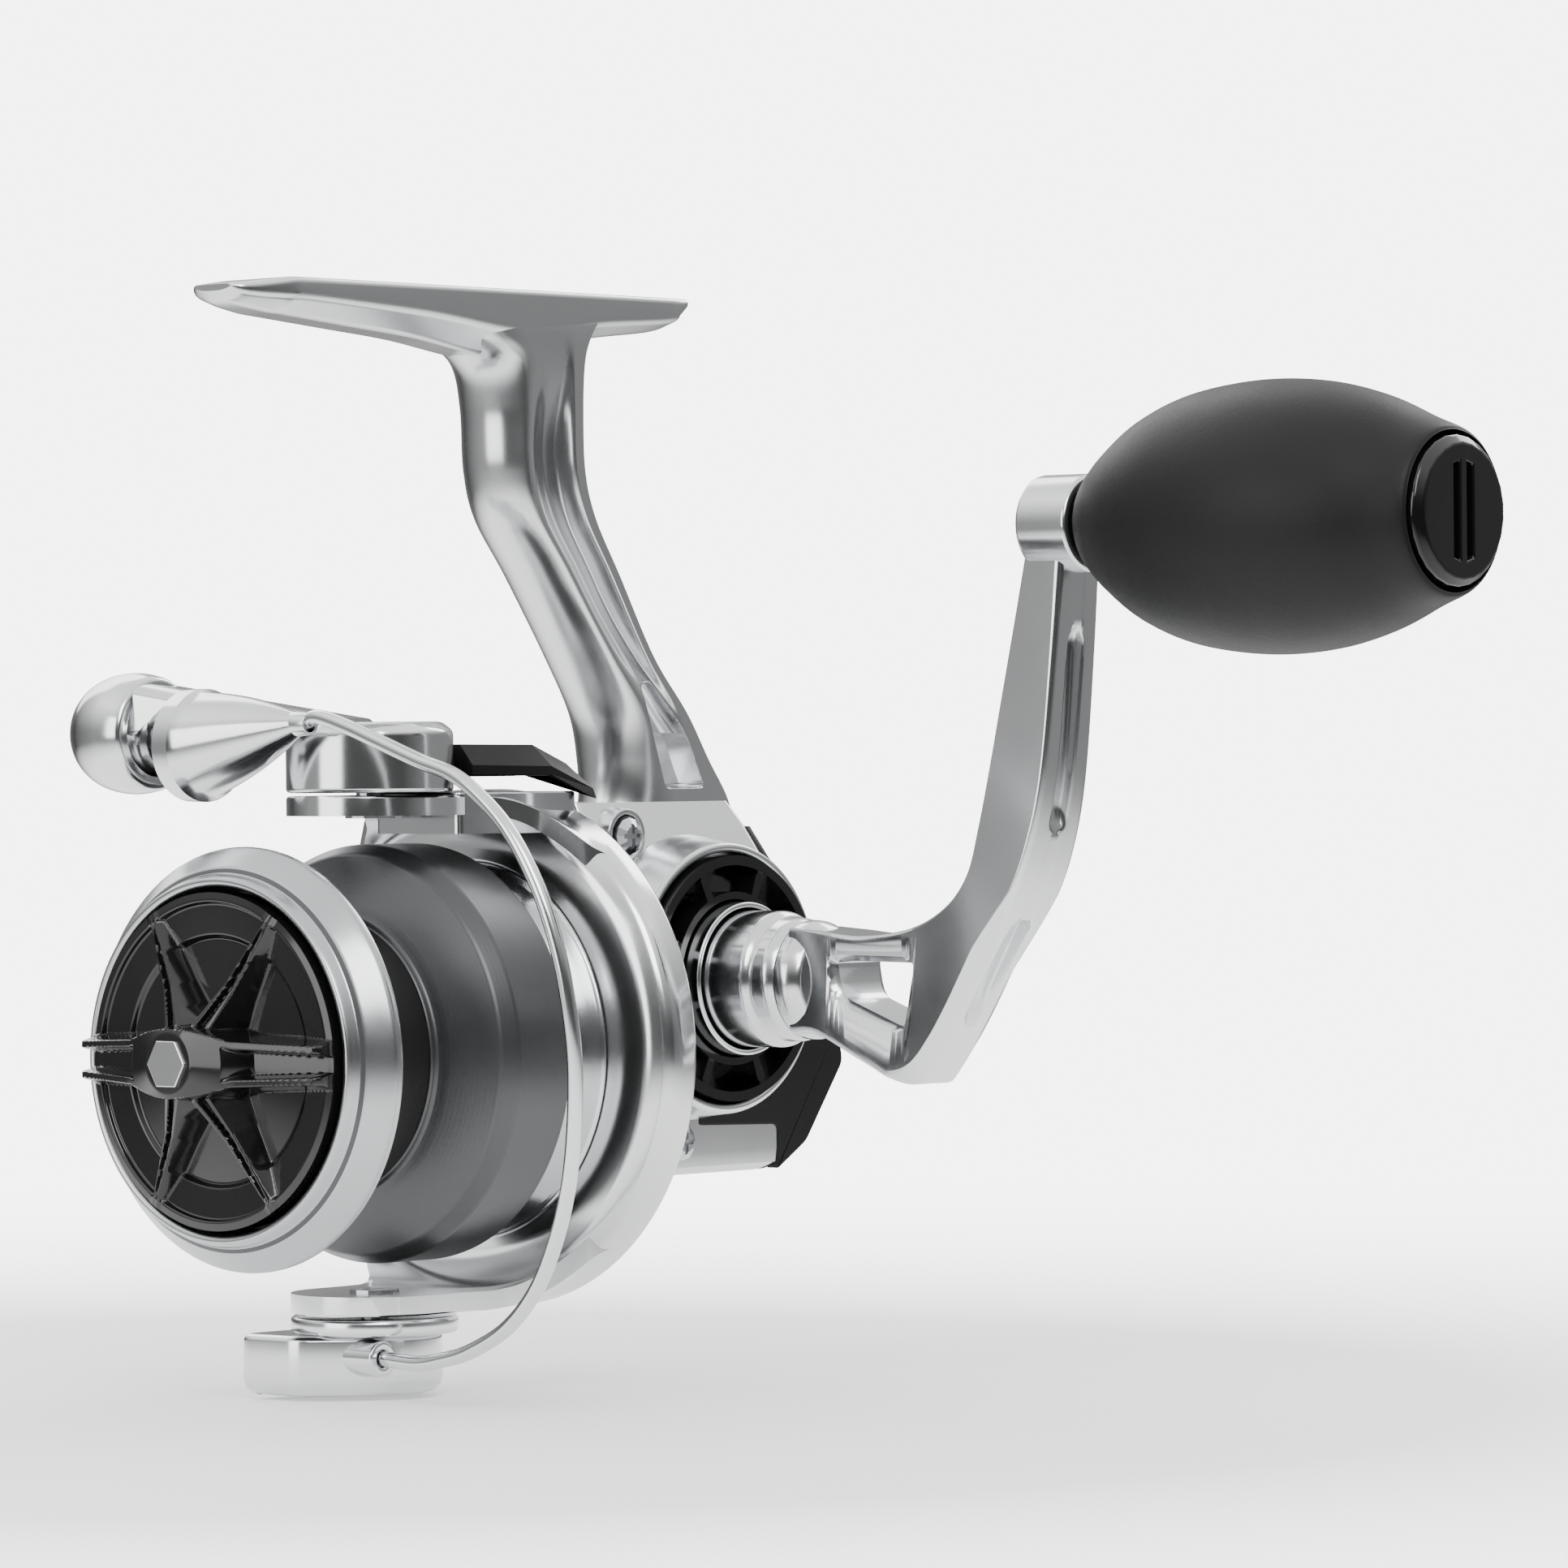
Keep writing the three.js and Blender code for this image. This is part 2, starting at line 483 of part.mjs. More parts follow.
function makeDriveShaft() {
  const shaft = ring('Y', DRIVE, -BODY_HALF - 1.6, BODY_HALF - 0.6, DRIVE_SHAFT_R, 0, MEDIUM);
  const phase = THREE.MathUtils.radToDeg(Math.atan2(-DRIVE_Z, OSC_X - DRIVE_X));
  const teeth = plateXZ(toothed(DRIVE_X, DRIVE_Z, OSC_DRIVE_TEETH, OSC_MODULE, phase), ...OSC_GEAR);
  const rootR = OSC_MODULE * (OSC_DRIVE_TEETH / 2 - 1.15);
  const waist = ring('Y', DRIVE, OSC_GEAR[0] - GAP, OSC_GEAR[1] + GAP, 2 * DRIVE_SHAFT_R, rootR, MEDIUM);
  const bore = ring('Y', DRIVE, -20, BODY_HALF - 2, STUB_R + GAP, 0, 6);
  return shaft.subtract(waist).add(teeth).subtract(bore);
}

// Each pinion tooth is a helical rib: a small outline turned as it runs along the shaft.
function makePinion() {
  const rings = [];
  const steps = 6;
  for (let j = 0; j <= steps; j += 1) {
    const x = 47.8 + 6.7 * j / steps;
    const turn = 40 * j / steps;
    const outline = [];
    for (let i = 0; i < PINION_TEETH; i += 1) {
      for (const [share, radius] of [[-0.3, PINION_R - 0.9], [-0.12, PINION_R], [0.12, PINION_R], [0.3, PINION_R - 0.9]]) {
        const angle = THREE.MathUtils.degToRad((i + share) * 360 / PINION_TEETH + turn);
        outline.push([x, radius * Math.cos(angle), radius * Math.sin(angle)]);
      }
    }
    rings.push(outline);
  }
  const gear = loft(rings);
  const sleeve = ring('X', AXIS, 26.3, 47.9, PINION_R - 0.3, 0, MEDIUM);
  return sleeve.add(gear).subtract(ring('X', AXIS, 20, 60, SHAFT_R + 0.15, 0, SMALL));
}

function makeOscillationGear() {
  const phase = THREE.MathUtils.radToDeg(Math.atan2(DRIVE_Z, DRIVE_X - OSC_X)) + 180 / OSC_TEETH;
  const wheel = plateXZ(toothed(OSC_X, 0, OSC_TEETH, OSC_MODULE, phase), ...OSC_GEAR);
  const pin = ring('Y', [OSC_X, 0, STROKE], SLIDER_FACE + GAP, OSC_GEAR[0] + 0.1, 0.8, 0, 12);
  return wheel.add(pin).subtract(ring('Y', [OSC_X, 0, 0], 0, 9, OSC_POST_R + GAP, 0, 12));
}

const SLIDER_FACE = 4.0;
const ROD_R = 0.9;
const RODS = [[-1.2, 4.6], [-1.2, -4.6]];

function makeSlider() {
  const reach = STROKE + 2.2;
  const x0 = OSC_X - 1.4;
  const x1 = OSC_X + 1.6;
  const block = plateXZ([[x0, -reach], [x1, -reach], [x1, reach], [x0, reach]], -2.9, SLIDER_FACE);
  const groove = plateXZ([[OSC_X - 0.95, -STROKE - 1], [OSC_X + 0.95, -STROKE - 1], [OSC_X + 0.95, STROKE + 1],
    [OSC_X - 0.95, STROKE + 1]], SHAFT_R + 0.4, SLIDER_FACE + 1);
  let slider = block.subtract(groove).subtract(ring('X', AXIS, x0 - 1, x1 - 0.6, SHAFT_R + GAP, 0, SMALL));
  for (const [y, z] of RODS) {
    slider = slider.subtract(ring('X', [0, y, z], x0 - 1, x1 + 1, ROD_R + GAP, 0, 12));
  }
  return slider;
}

add('drive_gear', makeDriveGear(), BRASS);
add('drive_shaft', makeDriveShaft(), STEEL);
add('pinion_gear', makePinion(), BRASS);
add('pinion_bearing_front', ring('X', AXIS, FLANGE_REAR + GAP, CASE_FRONT + WALL, BEARING_R, PINION_R - 0.3 + GAP, MEDIUM), STEEL);
add('pinion_bush_rear', ring('X', AXIS, 54.9, 57.1, PINION_R - 0.1, SHAFT_R + GAP, SMALL), NYLON);
add('clutch_outer', ring('X', AXIS, NOSE_FRONT + 0.4, FLANGE_REAR - GAP, CLUTCH_R, 5.7, MEDIUM), STEEL);
add('clutch_cage', ring('X', AXIS, NOSE_FRONT + 0.8, FLANGE_REAR - 0.7, 5.4, 4.8, SMALL), NYLON);
add('clutch_sleeve', ring('X', AXIS, NOSE_FRONT + 0.4, FLANGE_REAR - GAP, 4.5, PINION_R - 0.3 + GAP, SMALL), STEEL);
add('oscillation_gear', makeOscillationGear(), NYLON);
add('oscillation_slider', makeSlider(), STEEL);
add('guide_rod_upper', ring('X', [0, ...RODS[0]], DRIVE_X + DRIVE_SHAFT_R + 0.5, 74.6, ROD_R, 0, 12), STEEL);
add('guide_rod_lower', ring('X', [0, ...RODS[1]], DRIVE_X + DRIVE_SHAFT_R + 0.5, 74.6, ROD_R, 0, 12), STEEL);

// ---------------------------------------------------------------- rotor

const DRUM_R = LIP_R - 2.4;
const ARM_TOP = ARM_INNER_Z + ARM_T;
const TRIM_Z = ARM_TOP + 1.9;
const PAD_TOP = TRIM_Z - GAP;
const TRIM_TOP = TRIM_Z + 3.4;

function makeRotor() {
  const hub = 6.2;
  const wheel = turned('X', AXIS, [
    [29.6, PINION_R + 0.1], [29.6, hub], [32.8, hub + 0.8], [32.8, DRUM_R - 1.5], [25.4, DRUM_R - 1.5],
    [25.4, DRUM_R], [33.4, DRUM_R], [33.4, LIP_R], [33.9, RING_R - 2.4], [35.0, RING_R - 0.4], [36.4, RING_R],
    [RING_REAR, RING_R], [RING_REAR, RING_R - 2], [37.0, RING_R - 3.4], [35.5, NOSE_R + 1], [35.5, PINION_R + 0.1],
  ], ROUND);
  const half = 17.5;
  const plan = [...arc(PIVOT_X, 0, PIVOT_R, 80, 280, 10), [25.5, -8.8], [30, -11.2], [34.5, -half], [38.6, -half - 2.5],
    [38.6, half + 2.5], [34.5, half], [30, 11.2], [25.5, 8.8]];
  const sweep = turned('X', AXIS, [[20.5, ARM_INNER_Z + 0.1], [20.5, ARM_TOP - 0.1], [28, ARM_TOP], [35, RING_R],
    [38.6, RING_R], [38.6, RING_R - 2.4], [30, ARM_INNER_Z]], ROUND);
  const plate = plateXY(plan.filter(([x]) => x < 31), ARM_INNER_Z, ARM_TOP);
  const wing = sweep.intersect(plateXY(plan, 10, 60)).add(plate);
  const screwWay = ring('Z', [PIVOT_X, 0, 0], ARM_INNER_Z - 1, ARM_TOP + 1, SCREW_SHANK_R + GAP, 0, SMALL);
  const headSeat = ring('Z', [PIVOT_X, 0, 0], ARM_INNER_Z - 1, ARM_INNER_Z + 1.1, SCREW_HEAD + GAP, 0, SMALL);
  const upper = wing.subtract(screwWay).subtract(headSeat);
  const lower = upper.mirror([0, 0, 1]);
  const pad = plateXY([[27.6, -6.6], [35.8, -8.8], [38.6, -9.2], [38.6, 2.5], [28.6, 2.5]], ARM_INNER_Z + 0.5, PAD_TOP);
  return union([wheel, upper, lower, pad]);
}

const SCREW_SHANK_R = 1.5;
const SCREW_HEAD = 2.7;

function makePivotScrew(side) {
  const head = ring('Z', [PIVOT_X, 0, 0], ARM_INNER_Z - 0.3, ARM_INNER_Z + 0.8, SCREW_HEAD, 0, SMALL);
  const shank = ring('Z', [PIVOT_X, 0, 0], ARM_INNER_Z + 0.7, ARM_TOP + 4.2, SCREW_SHANK_R, 0, SMALL);
  const slot = plateXY([[PIVOT_X - 2, -0.3], [PIVOT_X + 2, -0.3], [PIVOT_X + 2, 0.3], [PIVOT_X - 2, 0.3]],
    ARM_INNER_Z - 1, ARM_INNER_Z + 0.1);
  const screw = head.add(shank).subtract(slot);
  return side > 0 ? screw : screw.mirror([0, 0, 1]);
}

// Black trim over the upper arm: a hollow roof whose near side flares down to the rear of the rotor,
// and whose far side stays narrow so that the open bail passes beside it.
function makeArmTrim() {
  const base = TRIM_Z;
  const top = TRIM_TOP;
  const outer = loft([
    [[27.0, -7.0, base + 0.2], [27.0, -7.0, base + 1.2], [27.4, -4.8, top], [28.5, 1.8, top], [28.6, 3.0, top - 1.6],
      [28.6, 3.0, base], [27.1, -6.4, base]],
    [[36.0, -10.0, base + 0.1], [36.0, -10.0, base + 1.0], [36.0, -7.2, top - 0.1], [36.0, 1.6, top - 0.1],
      [36.0, 3.0, top - 1.7], [36.0, 3.0, base], [36.0, -9.4, base]],
    [[39.3, -13.4, base - 2.5], [39.3, -12.9, base - 1.4], [39.3, -9.0, base + 1.3], [39.3, 1.0, base + 2.2],
      [39.3, 2.6, base + 1.0], [39.3, 2.6, base], [39.3, -9.6, base]],
  ]);
  const inner = loft([
    [[28.4, -6.0, base - 1], [28.4, -6.0, base + 1.0], [28.6, -4.2, top - 1], [29.6, 1.2, top - 1],
      [29.6, 2.0, top - 1.9], [29.6, 2.0, base - 1]],
    [[35.8, -8.6, base - 1], [35.8, -8.6, base + 0.8], [35.8, -6.5, top - 1.2], [35.8, 1.0, top - 1.2],
      [35.8, 2.0, top - 2.1], [35.8, 2.0, base - 1]],
    [[37.9, -8.6, base - 1], [37.9, -8.6, base + 0.4], [37.9, -7.4, base + 0.9], [37.9, 0.8, base + 1.4],
      [37.9, 1.8, base + 0.7], [37.9, 1.8, base - 1]],
  ]);
  const rodWay = ring('X', [0, KICK_Y, KICK_Z], 30, 50, KICK_R + GAP, 0, 12);
  return outer.subtract(inner).subtract(rodWay);
}

const KICK_Y = -2.2;
const KICK_R = 0.7;
const KICK_Z = PAD_TOP + KICK_R + 0.25;

function makeBailSpring() {
  const radius = 0.8;
  const wire = 0.25;
  const turns = 4;
  class Helix extends THREE.Curve {
    getPoint(t) {
      const angle = 2 * Math.PI * turns * t;
      return new THREE.Vector3(30.4 + 5 * t, 0.6 + radius * Math.cos(angle), PAD_TOP + 1.3 + radius * Math.sin(angle));
    }
  }
  return bar(new Helix(), wire, turns * 8, 5);
}

function makeRotorNut() {
  const hex = plateYZ(circle(0, 0, 5.6, 6), 26.5, 29.3);
  return hex.subtract(ring('X', AXIS, 20, 40, PINION_R - 0.3 + GAP, 0, SMALL));
}

add('rotor', makeRotor(), CHROME);
add('rotor_nut', makeRotorNut(), BRASS);
add('arm_trim', makeArmTrim(), SATIN_BLACK);
add('bail_pivot_screw_upper', makePivotScrew(1), STEEL);
add('bail_pivot_screw_lower', makePivotScrew(-1), STEEL);
add('bail_spring', makeBailSpring(), STEEL);
add('kick_rod', ring('X', [0, KICK_Y, KICK_Z], 29.2, 38.6, KICK_R, 0, 12), STEEL);

// ---------------------------------------------------------------- bail

const LEVER_Z = ARM_TOP + GAP;
const PLATE_Z = LEVER_Z + LEVER_T;
const CONE_BASE_Y = 14.9;
const CONE_TIP_Y = -2.1;
const WIRE_TOP = 34.6;
const BALL_Z = ROLLER_Z + 0.5;
const ROLLER_R = 4.3;

function makeBailArm() {
  const boss = turned('Z', [PIVOT_X, 0, 0], [[LEVER_Z, 0], [LEVER_Z, PIVOT_R], [PLATE_Z + 0.8, PIVOT_R],
    [PLATE_Z + 1.8, PIVOT_R - 1.2], [PLATE_Z + 1.8, 0]], ROUND);
  const web = (t) => {
    const x = PIVOT_X + (ROLLER_X - PIVOT_X) * t;
    const y = BALL_Y * t;
    const half = PIVOT_R - 1.4 - (PIVOT_R - 1.4 - BALL_R + 1.2) * t;
    const dx = BALL_Y;
    const dy = PIVOT_X - ROLLER_X;
    const length = Math.hypot(dx, dy);
    const z0 = PLATE_Z + 0.1 + 0.3 * t;
    const z1 = PLATE_Z + 1.8 + (BALL_Z + BALL_R - 1.0 - PLATE_Z - 1.8) * t;
    const offset = (side, z) => [x + side * half * dx / length, y + side * half * dy / length, z];
    return [offset(-1, z0), offset(1, z0), offset(1, z1 - 1), offset(0.6, z1), offset(-0.6, z1), offset(-1, z1 - 1)];
  };
  const arm = loft([web(0.1), web(0.4), web(0.7), web(1)]);
  const cup = [];
  for (const [dy, share] of [[-3.9, 0.9], [-2.4, 0.98], [0, 1], [2.6, 0.92], [4.6, 0.74], [6.2, 0.42]]) {
    cup.push([BALL_Y + dy, BALL_R * share]);
  }
  const ball = turned('Y', [ROLLER_X, 0, BALL_Z], [[BALL_Y - 3.9, 0], ...cup, [BALL_Y + 6.6, 0]], MEDIUM);
  const seat = ring('Y', [ROLLER_X, 0, ROLLER_Z], BALL_Y - 6, BALL_Y - 2.2, ROLLER_R + GAP, 0, MEDIUM);
  const bore = ring('Z', [PIVOT_X, 0, 0], LEVER_Z - 1, ARM_TOP + 4.2 + GAP, SCREW_SHANK_R + GAP, 0, SMALL);
  const keep = plateXY([[-20, -20], [60, -20], [60, 60], [-20, 60]], LEVER_Z, 60);
  const swing = ring('Y', [ROLLER_X, 0, ROLLER_Z - 1], CONE_TIP_Y - 2, BALL_Y - 3.9, 7.1 + GAP, 0, MEDIUM);
  const link = boss.add(arm.intersect(keep).subtract(swing));
  return link.add(ball).subtract(seat).subtract(bore);
}

// The cone that leads the line to the roller rises towards its tip, where the wire is fixed.
function makeBailCone() {
  const rings = [];
  for (const [y, z, radius] of [[CONE_BASE_Y, 32.5, 4.8], [CONE_BASE_Y - 1.2, 32.4, 5.9], [CONE_BASE_Y - 4.2, 32.6, 5.6],
    [CONE_BASE_Y - 8.0, 33.2, 4.0], [CONE_BASE_Y - 12.4, 34.0, 2.2], [CONE_TIP_Y + 1.2, 34.5, 1.4],
    [CONE_TIP_Y, WIRE_TOP, 1.1]]) {
    rings.push(circle(ROLLER_X, z, radius, MEDIUM).map(([x, height]) => [x, y, height]));
  }
  const axle = ring('Y', [ROLLER_X, 0, ROLLER_Z], CONE_BASE_Y - 0.4, BALL_Y - 2.5, 1.2, 0, 12);
  return loft(rings).add(axle);
}

const LOWER_Z = -LEVER_Z - 4.0;
const SOCKET = [13.2, -6.4];

const wirePoints = [
  [ROLLER_X, CONE_TIP_Y - GAP, WIRE_TOP], [6.3, -4.8, WIRE_TOP + 0.7], [5.7, -14, 32.7], [5.1, -25.6, 29.0],
  [5.2, -34.0, 21.8], [6.0, -38.7, 10.8], [7.1, -39.6, 0.2], [8.6, -37.2, -12.2], [10.3, -31.0, -23.1],
  [11.9, -20.3, LOWER_Z + 1.5], [12.8, -12.0, LOWER_Z - 0.2], [SOCKET[0], SOCKET[1] - GAP, LOWER_Z],
];

function makeBailWire() {
  const curve = new THREE.CatmullRomCurve3(wirePoints.map((point) => new THREE.Vector3(...point)), false, 'centripetal');
  return bar(curve, WIRE_R, 44, 8);
}

function makeBailLever() {
  const plate = ring('Z', [PIVOT_X, 0, 0], -LEVER_Z - 1.8, -LEVER_Z, PIVOT_R, 0, ROUND);
  const plan = [...arc(PIVOT_X, 0, 7.2, -100, 60, 7), [15.0, 9.2], [9.2, 9.6], [7.8, 8.8], [8.0, 1.2], [12.4, -4.0]];
  const block = plateXY(plan, -LEVER_Z - 7.3, -LEVER_Z - 1.7);
  const low = plateXY(inset(plan, 1.2), -LEVER_Z - 8.1, -LEVER_Z - 7.2);
  const socket = ring('Y', [SOCKET[0], 0, LOWER_Z], SOCKET[1], 0.5, 2.0, 0, SMALL);
  const bore = ring('Z', [PIVOT_X, 0, 0], -ARM_TOP - 4.2 - GAP, -LEVER_Z + 1, SCREW_SHANK_R + GAP, 0, SMALL);
  return union([plate, block, low, socket]).subtract(bore);
}

add('bail_arm', makeBailArm(), CHROME);
add('bail_cone', makeBailCone(), CHROME);
add('line_roller', turned('Y', [ROLLER_X, 0, ROLLER_Z], [[CONE_BASE_Y + GAP, 2.3], [CONE_BASE_Y + GAP, ROLLER_R],
  [CONE_BASE_Y + 1.7, ROLLER_R - 0.6], [BALL_Y - 2.5, ROLLER_R], [BALL_Y - 2.5, 2.3]], MEDIUM), CHROME);
add('roller_bearing', ring('Y', [ROLLER_X, 0, ROLLER_Z], CONE_BASE_Y + 0.6, BALL_Y - 2.8, 2.0, 1.5, SMALL), STEEL);
add('bail_wire', makeBailWire(), CHROME);
add('bail_lever', makeBailLever(), CHROME);

// ---------------------------------------------------------------- spool

const FRONT = -4.2;
const FLOOR = 7.6;
const REAR_FLANGE = 2.6 + ARBOR_WIDTH;
const SKIRT_FRONT = REAR_FLANGE + 4.3;
const SKIRT_REAR = SKIRT_FRONT + SKIRT_LENGTH;
const HUB_REAR = 17;
const KNOB_DISC_R = NOSE_RING_R - 1.6;
const BAND_DEPTH = 0.9;

function makeSpool() {
  const bore = SHAFT_R + GAP;
  return turned('X', AXIS, [
    [FLOOR, bore], [FLOOR, CAVITY_R], [0.6, CAVITY_R], [0.6, KNOB_DISC_R + 0.5], [FRONT + 0.3, KNOB_DISC_R + 0.5],
    [FRONT, KNOB_DISC_R + 1.0], [FRONT + 0.2, NOSE_RING_R], [-2.6, NOSE_RING_R + 0.9], [-1.0, LIP_R - 0.6], [-0.2, LIP_R], [0.6, LIP_R],
    [1.5, LIP_R - 1.0], [2.6, ARBOR_R + 1.6], [3.0, ARBOR_R], [3.9, ARBOR_R], [3.9, ARBOR_R - BAND_DEPTH],
    [REAR_FLANGE - 1.3, ARBOR_R - BAND_DEPTH], [REAR_FLANGE - 1.3, ARBOR_R], [REAR_FLANGE - 0.5, ARBOR_R],
    [REAR_FLANGE, ARBOR_R + 1.2], [REAR_FLANGE + 2.5, LIP_R - 0.9], [SKIRT_FRONT, LIP_R], [SKIRT_REAR, LIP_R],
    [SKIRT_REAR, LIP_R - 1.2], [SKIRT_FRONT + 0.2, LIP_R - 1.2], [REAR_FLANGE + 3.0, LIP_R - 2.6],
    [REAR_FLANGE - 0.6, ARBOR_R - 2.4], [FLOOR + 2.2, ARBOR_R - 3.0], [FLOOR + 2.2, 6.6], [HUB_REAR, 6.6], [HUB_REAR, bore],
  ], ROUND);
}

function makeArborBand() {
  const from = 3.9 + GAP;
  const to = REAR_FLANGE - 1.3 - GAP;
  return ring('X', AXIS, from, to, ARBOR_R, ARBOR_R - BAND_DEPTH + GAP, ROUND);
}

const washer = (x0, x1, outer) => ring('X', AXIS, x0, x1, outer, SHAFT_R + GAP, MEDIUM);

function makeClip() {
  const clip = ring('X', AXIS, 2.6, 3.2, CAVITY_R - 0.3, CAVITY_R - 1.4, MEDIUM);
  return clip.subtract(plateYZ([[-2, 8], [2, 8], [2, 16], [-2, 16]], 2, 4));
}

function makeClickGear() {
  const teeth = 24;
  const outline = [];
  for (let i = 0; i < teeth; i += 1) {
    const angle = 2 * Math.PI * i / teeth;
    const next = angle + Math.PI / teeth;
    outline.push([8.2 * Math.cos(angle), 8.2 * Math.sin(angle)], [7.3 * Math.cos(next), 7.3 * Math.sin(next)]);
  }
  return plateYZ(outline, HUB_REAR + GAP, HUB_REAR + 1.6).subtract(ring('X', AXIS, 10, 30, SHAFT_R + GAP, 0, SMALL));
}

add('main_shaft', ring('X', AXIS, -3.4, OSC_X + 0.6, SHAFT_R, 0, SMALL), STEEL);
add('spool', makeSpool(), SPOOL_GREY);
add('arbor_band', makeArborBand(), SOFT_BLACK);
add('drag_washer_felt_rear', washer(6.6, 7.3, CAVITY_R - 0.4), FELT);
add('drag_washer_keyed', washer(5.7, 6.3, CAVITY_R - 0.5), STEEL);
add('drag_washer_felt_middle', washer(4.7, 5.4, CAVITY_R - 0.4), FELT);
add('drag_washer_eared', washer(3.8, 4.4, CAVITY_R - 0.3), STEEL);
add('drag_retaining_clip', makeClip(), STEEL);
add('click_gear', makeClickGear(), NYLON);
add('spool_support_washer', ring('X', AXIS, HUB_REAR + 1.9, HUB_REAR + 3.0, 4.2, SHAFT_R + GAP, SMALL), NYLON);

// ---------------------------------------------------------------- drag knob

const GRIP_NOSE = 11.4;

function makeDragKnob() {
  const r = KNOB_DISC_R;
  const disc = turned('X', AXIS, [[-1.2, r - 1.0], [-2.0, r], [-4.6, r], [-5.0, r - 0.7], [-4.4, r - 2.2], [-5.6, 6.0],
    [-7.2, 4.6], [-7.2, 0], [-1.2, 0]], ROUND);
  const blades = [];
  for (let i = 0; i < 6; i += 1) {
    if (i % 3 !== 0) {
      const blade = loft([[r - 1.6, 1.5, -5.1], [r * 0.5, 1.0, -6.9], [4, 1.6, -9.0]].map(([out, half, top]) => [
        [-4.0, -half - 0.6, out], [-4.0, half + 0.6, out], [top, half * 0.35, out], [top, -half * 0.35, out]]));
      blades.push(blade.rotate([90 + 60 * i, 0, 0]));
    }
  }
  const nose = (y, half, front) => [[-4.2, y, -half - 0.7], [-4.2, y, half + 0.7], [front, y, half], [front, y, -half]];
  const grip = loft([nose(-r + 0.2, 1.6, -5.6), nose(-10, 2.1, -7.6), nose(-4.6, 3.0, -GRIP_NOSE + 0.6),
    nose(0, 3.9, -GRIP_NOSE), nose(4.6, 3.0, -GRIP_NOSE + 0.6), nose(10, 2.1, -7.6), nose(r - 0.2, 1.6, -5.6)]);
  const badgeSeat = plateYZ(circle(0, 0, BADGE_R + GAP, 6), -GRIP_NOSE - 1, -GRIP_NOSE + 0.7);
  const nutPocket = ring('X', AXIS, -4.8, 0, 5.7, 0, MEDIUM);
  const springPocket = ring('X', AXIS, -2.8, 0, 8.4, 0, MEDIUM);
  return union([disc, ...blades, grip]).subtract(badgeSeat).subtract(nutPocket).subtract(springPocket);
}

const BADGE_R = 2.7;

function makeDragSpring() {
  const radius = 7.0;
  const wire = 0.35;
  const turns = 2.5;
  class Helix extends THREE.Curve {
    getPoint(t) {
      const angle = 2 * Math.PI * turns * t;
      return new THREE.Vector3(-2.0 + 2.1 * t, radius * Math.cos(angle), radius * Math.sin(angle));
    }
  }
  return bar(new Helix(), wire, 40, 6);
}

function makeDragNut() {
  return plateYZ(circle(0, 0, 5.3, 6), -4.5, -1.4).subtract(ring('X', AXIS, -10, 5, SHAFT_R + GAP, 0, SMALL));
}

add('drag_knob', makeDragKnob(), GLOSS_BLACK);
add('drag_knob_badge', plateYZ(circle(0, 0, BADGE_R, 6), -GRIP_NOSE - 0.2, -GRIP_NOSE + 0.4), CHROME);
add('drag_nut', makeDragNut(), BRASS);
add('drag_spring', makeDragSpring(), STEEL);
add('drag_pressure_plate', ring('X', AXIS, 1.4, 2.3, 9.5, SHAFT_R + GAP, MEDIUM), STEEL);

// ---------------------------------------------------------------- handle

const ARM_HALF = 4.4;             // half thickness of the handle arm at its elbow
const ARM_HALF_TOP = 3.1;
const BOSS_OUT_Y = ARM_OUT_Y - 6.6;
const BOSS_HANDLE_R = 5.0;
const KNOB_AXIS = [DRIVE_X, 0, KNOB_Z];
const KNOB_NECK_Y = BOSS_OUT_Y - GAP;

function makeHandleArm() {
  const z = DRIVE_Z;
  const outline = [[-28.7, z + 5.6], [-33.0, z + 5.3], [-38.9, z + 5.0], [-45.5, z + 5.7], [-51.5, z + 7.9], [-53.9, z + 11.9],
    [-55.2, z + 16.4], [-61.5, KNOB_Z], [-65.8, KNOB_Z], [-63.4, z + 21.1], [-61.2, z + 13.0], [-57.8, z + 6.6],
    [-46.6, z - 9.6], [-44.8, z - 10.6], [-42.6, z - 10.0], [-32.0, z - 5.6], [-28.7, z - 5.6]];
  let arm = plateYZ(outline, DRIVE_X - ARM_HALF, DRIVE_X + ARM_HALF);
  const taper = [[-80, z - 20], [-20, z - 20], [-20, KNOB_Z + 10], [-80, KNOB_Z + 10]];
  const side = (s) => {
    const half = (height) => DRIVE_X + s * (ARM_HALF + (ARM_HALF_TOP - ARM_HALF) * height);
    return loft([[[half(0), -80, z + 14], [half(0), -20, z + 14], [half(1), -20, KNOB_Z + 8], [half(1), -80, KNOB_Z + 8]],
      [[DRIVE_X + s * 9, -80, z + 14], [DRIVE_X + s * 9, -20, z + 14], [DRIVE_X + s * 9, -20, KNOB_Z + 8],
        [DRIVE_X + s * 9, -80, KNOB_Z + 8]]]);
  };
  arm = arm.subtract(side(1)).subtract(side(-1));
  const window = [[-35.6, z + 1.2], [-38.4, z - 3.0], [-42.6, z - 5.4], [-45.6, z - 3.6], [-46.2, z + 0.8], [-44.6, z + 1.6]];
  arm = arm.subtract(plateYZ(window, DRIVE_X - 6, DRIVE_X + 6));
  const boss = ring('Y', KNOB_AXIS, BOSS_OUT_Y, ARM_OUT_Y, BOSS_HANDLE_R, 0, MEDIUM);
  const hub = ring('Y', DRIVE, -32.5, HUB_Y - GAP, 5.6, 0, MEDIUM);
  arm = union([arm, boss, hub]);
  arm = arm.subtract(ring('Y', DRIVE, -31.5, 0, STUB_R + GAP, 0, 6));
  return arm.subtract(ring('Y', KNOB_AXIS, BOSS_OUT_Y - 1, BOSS_OUT_Y + 4.2, KNOB_SHAFT_R + GAP, 0, SMALL));
}

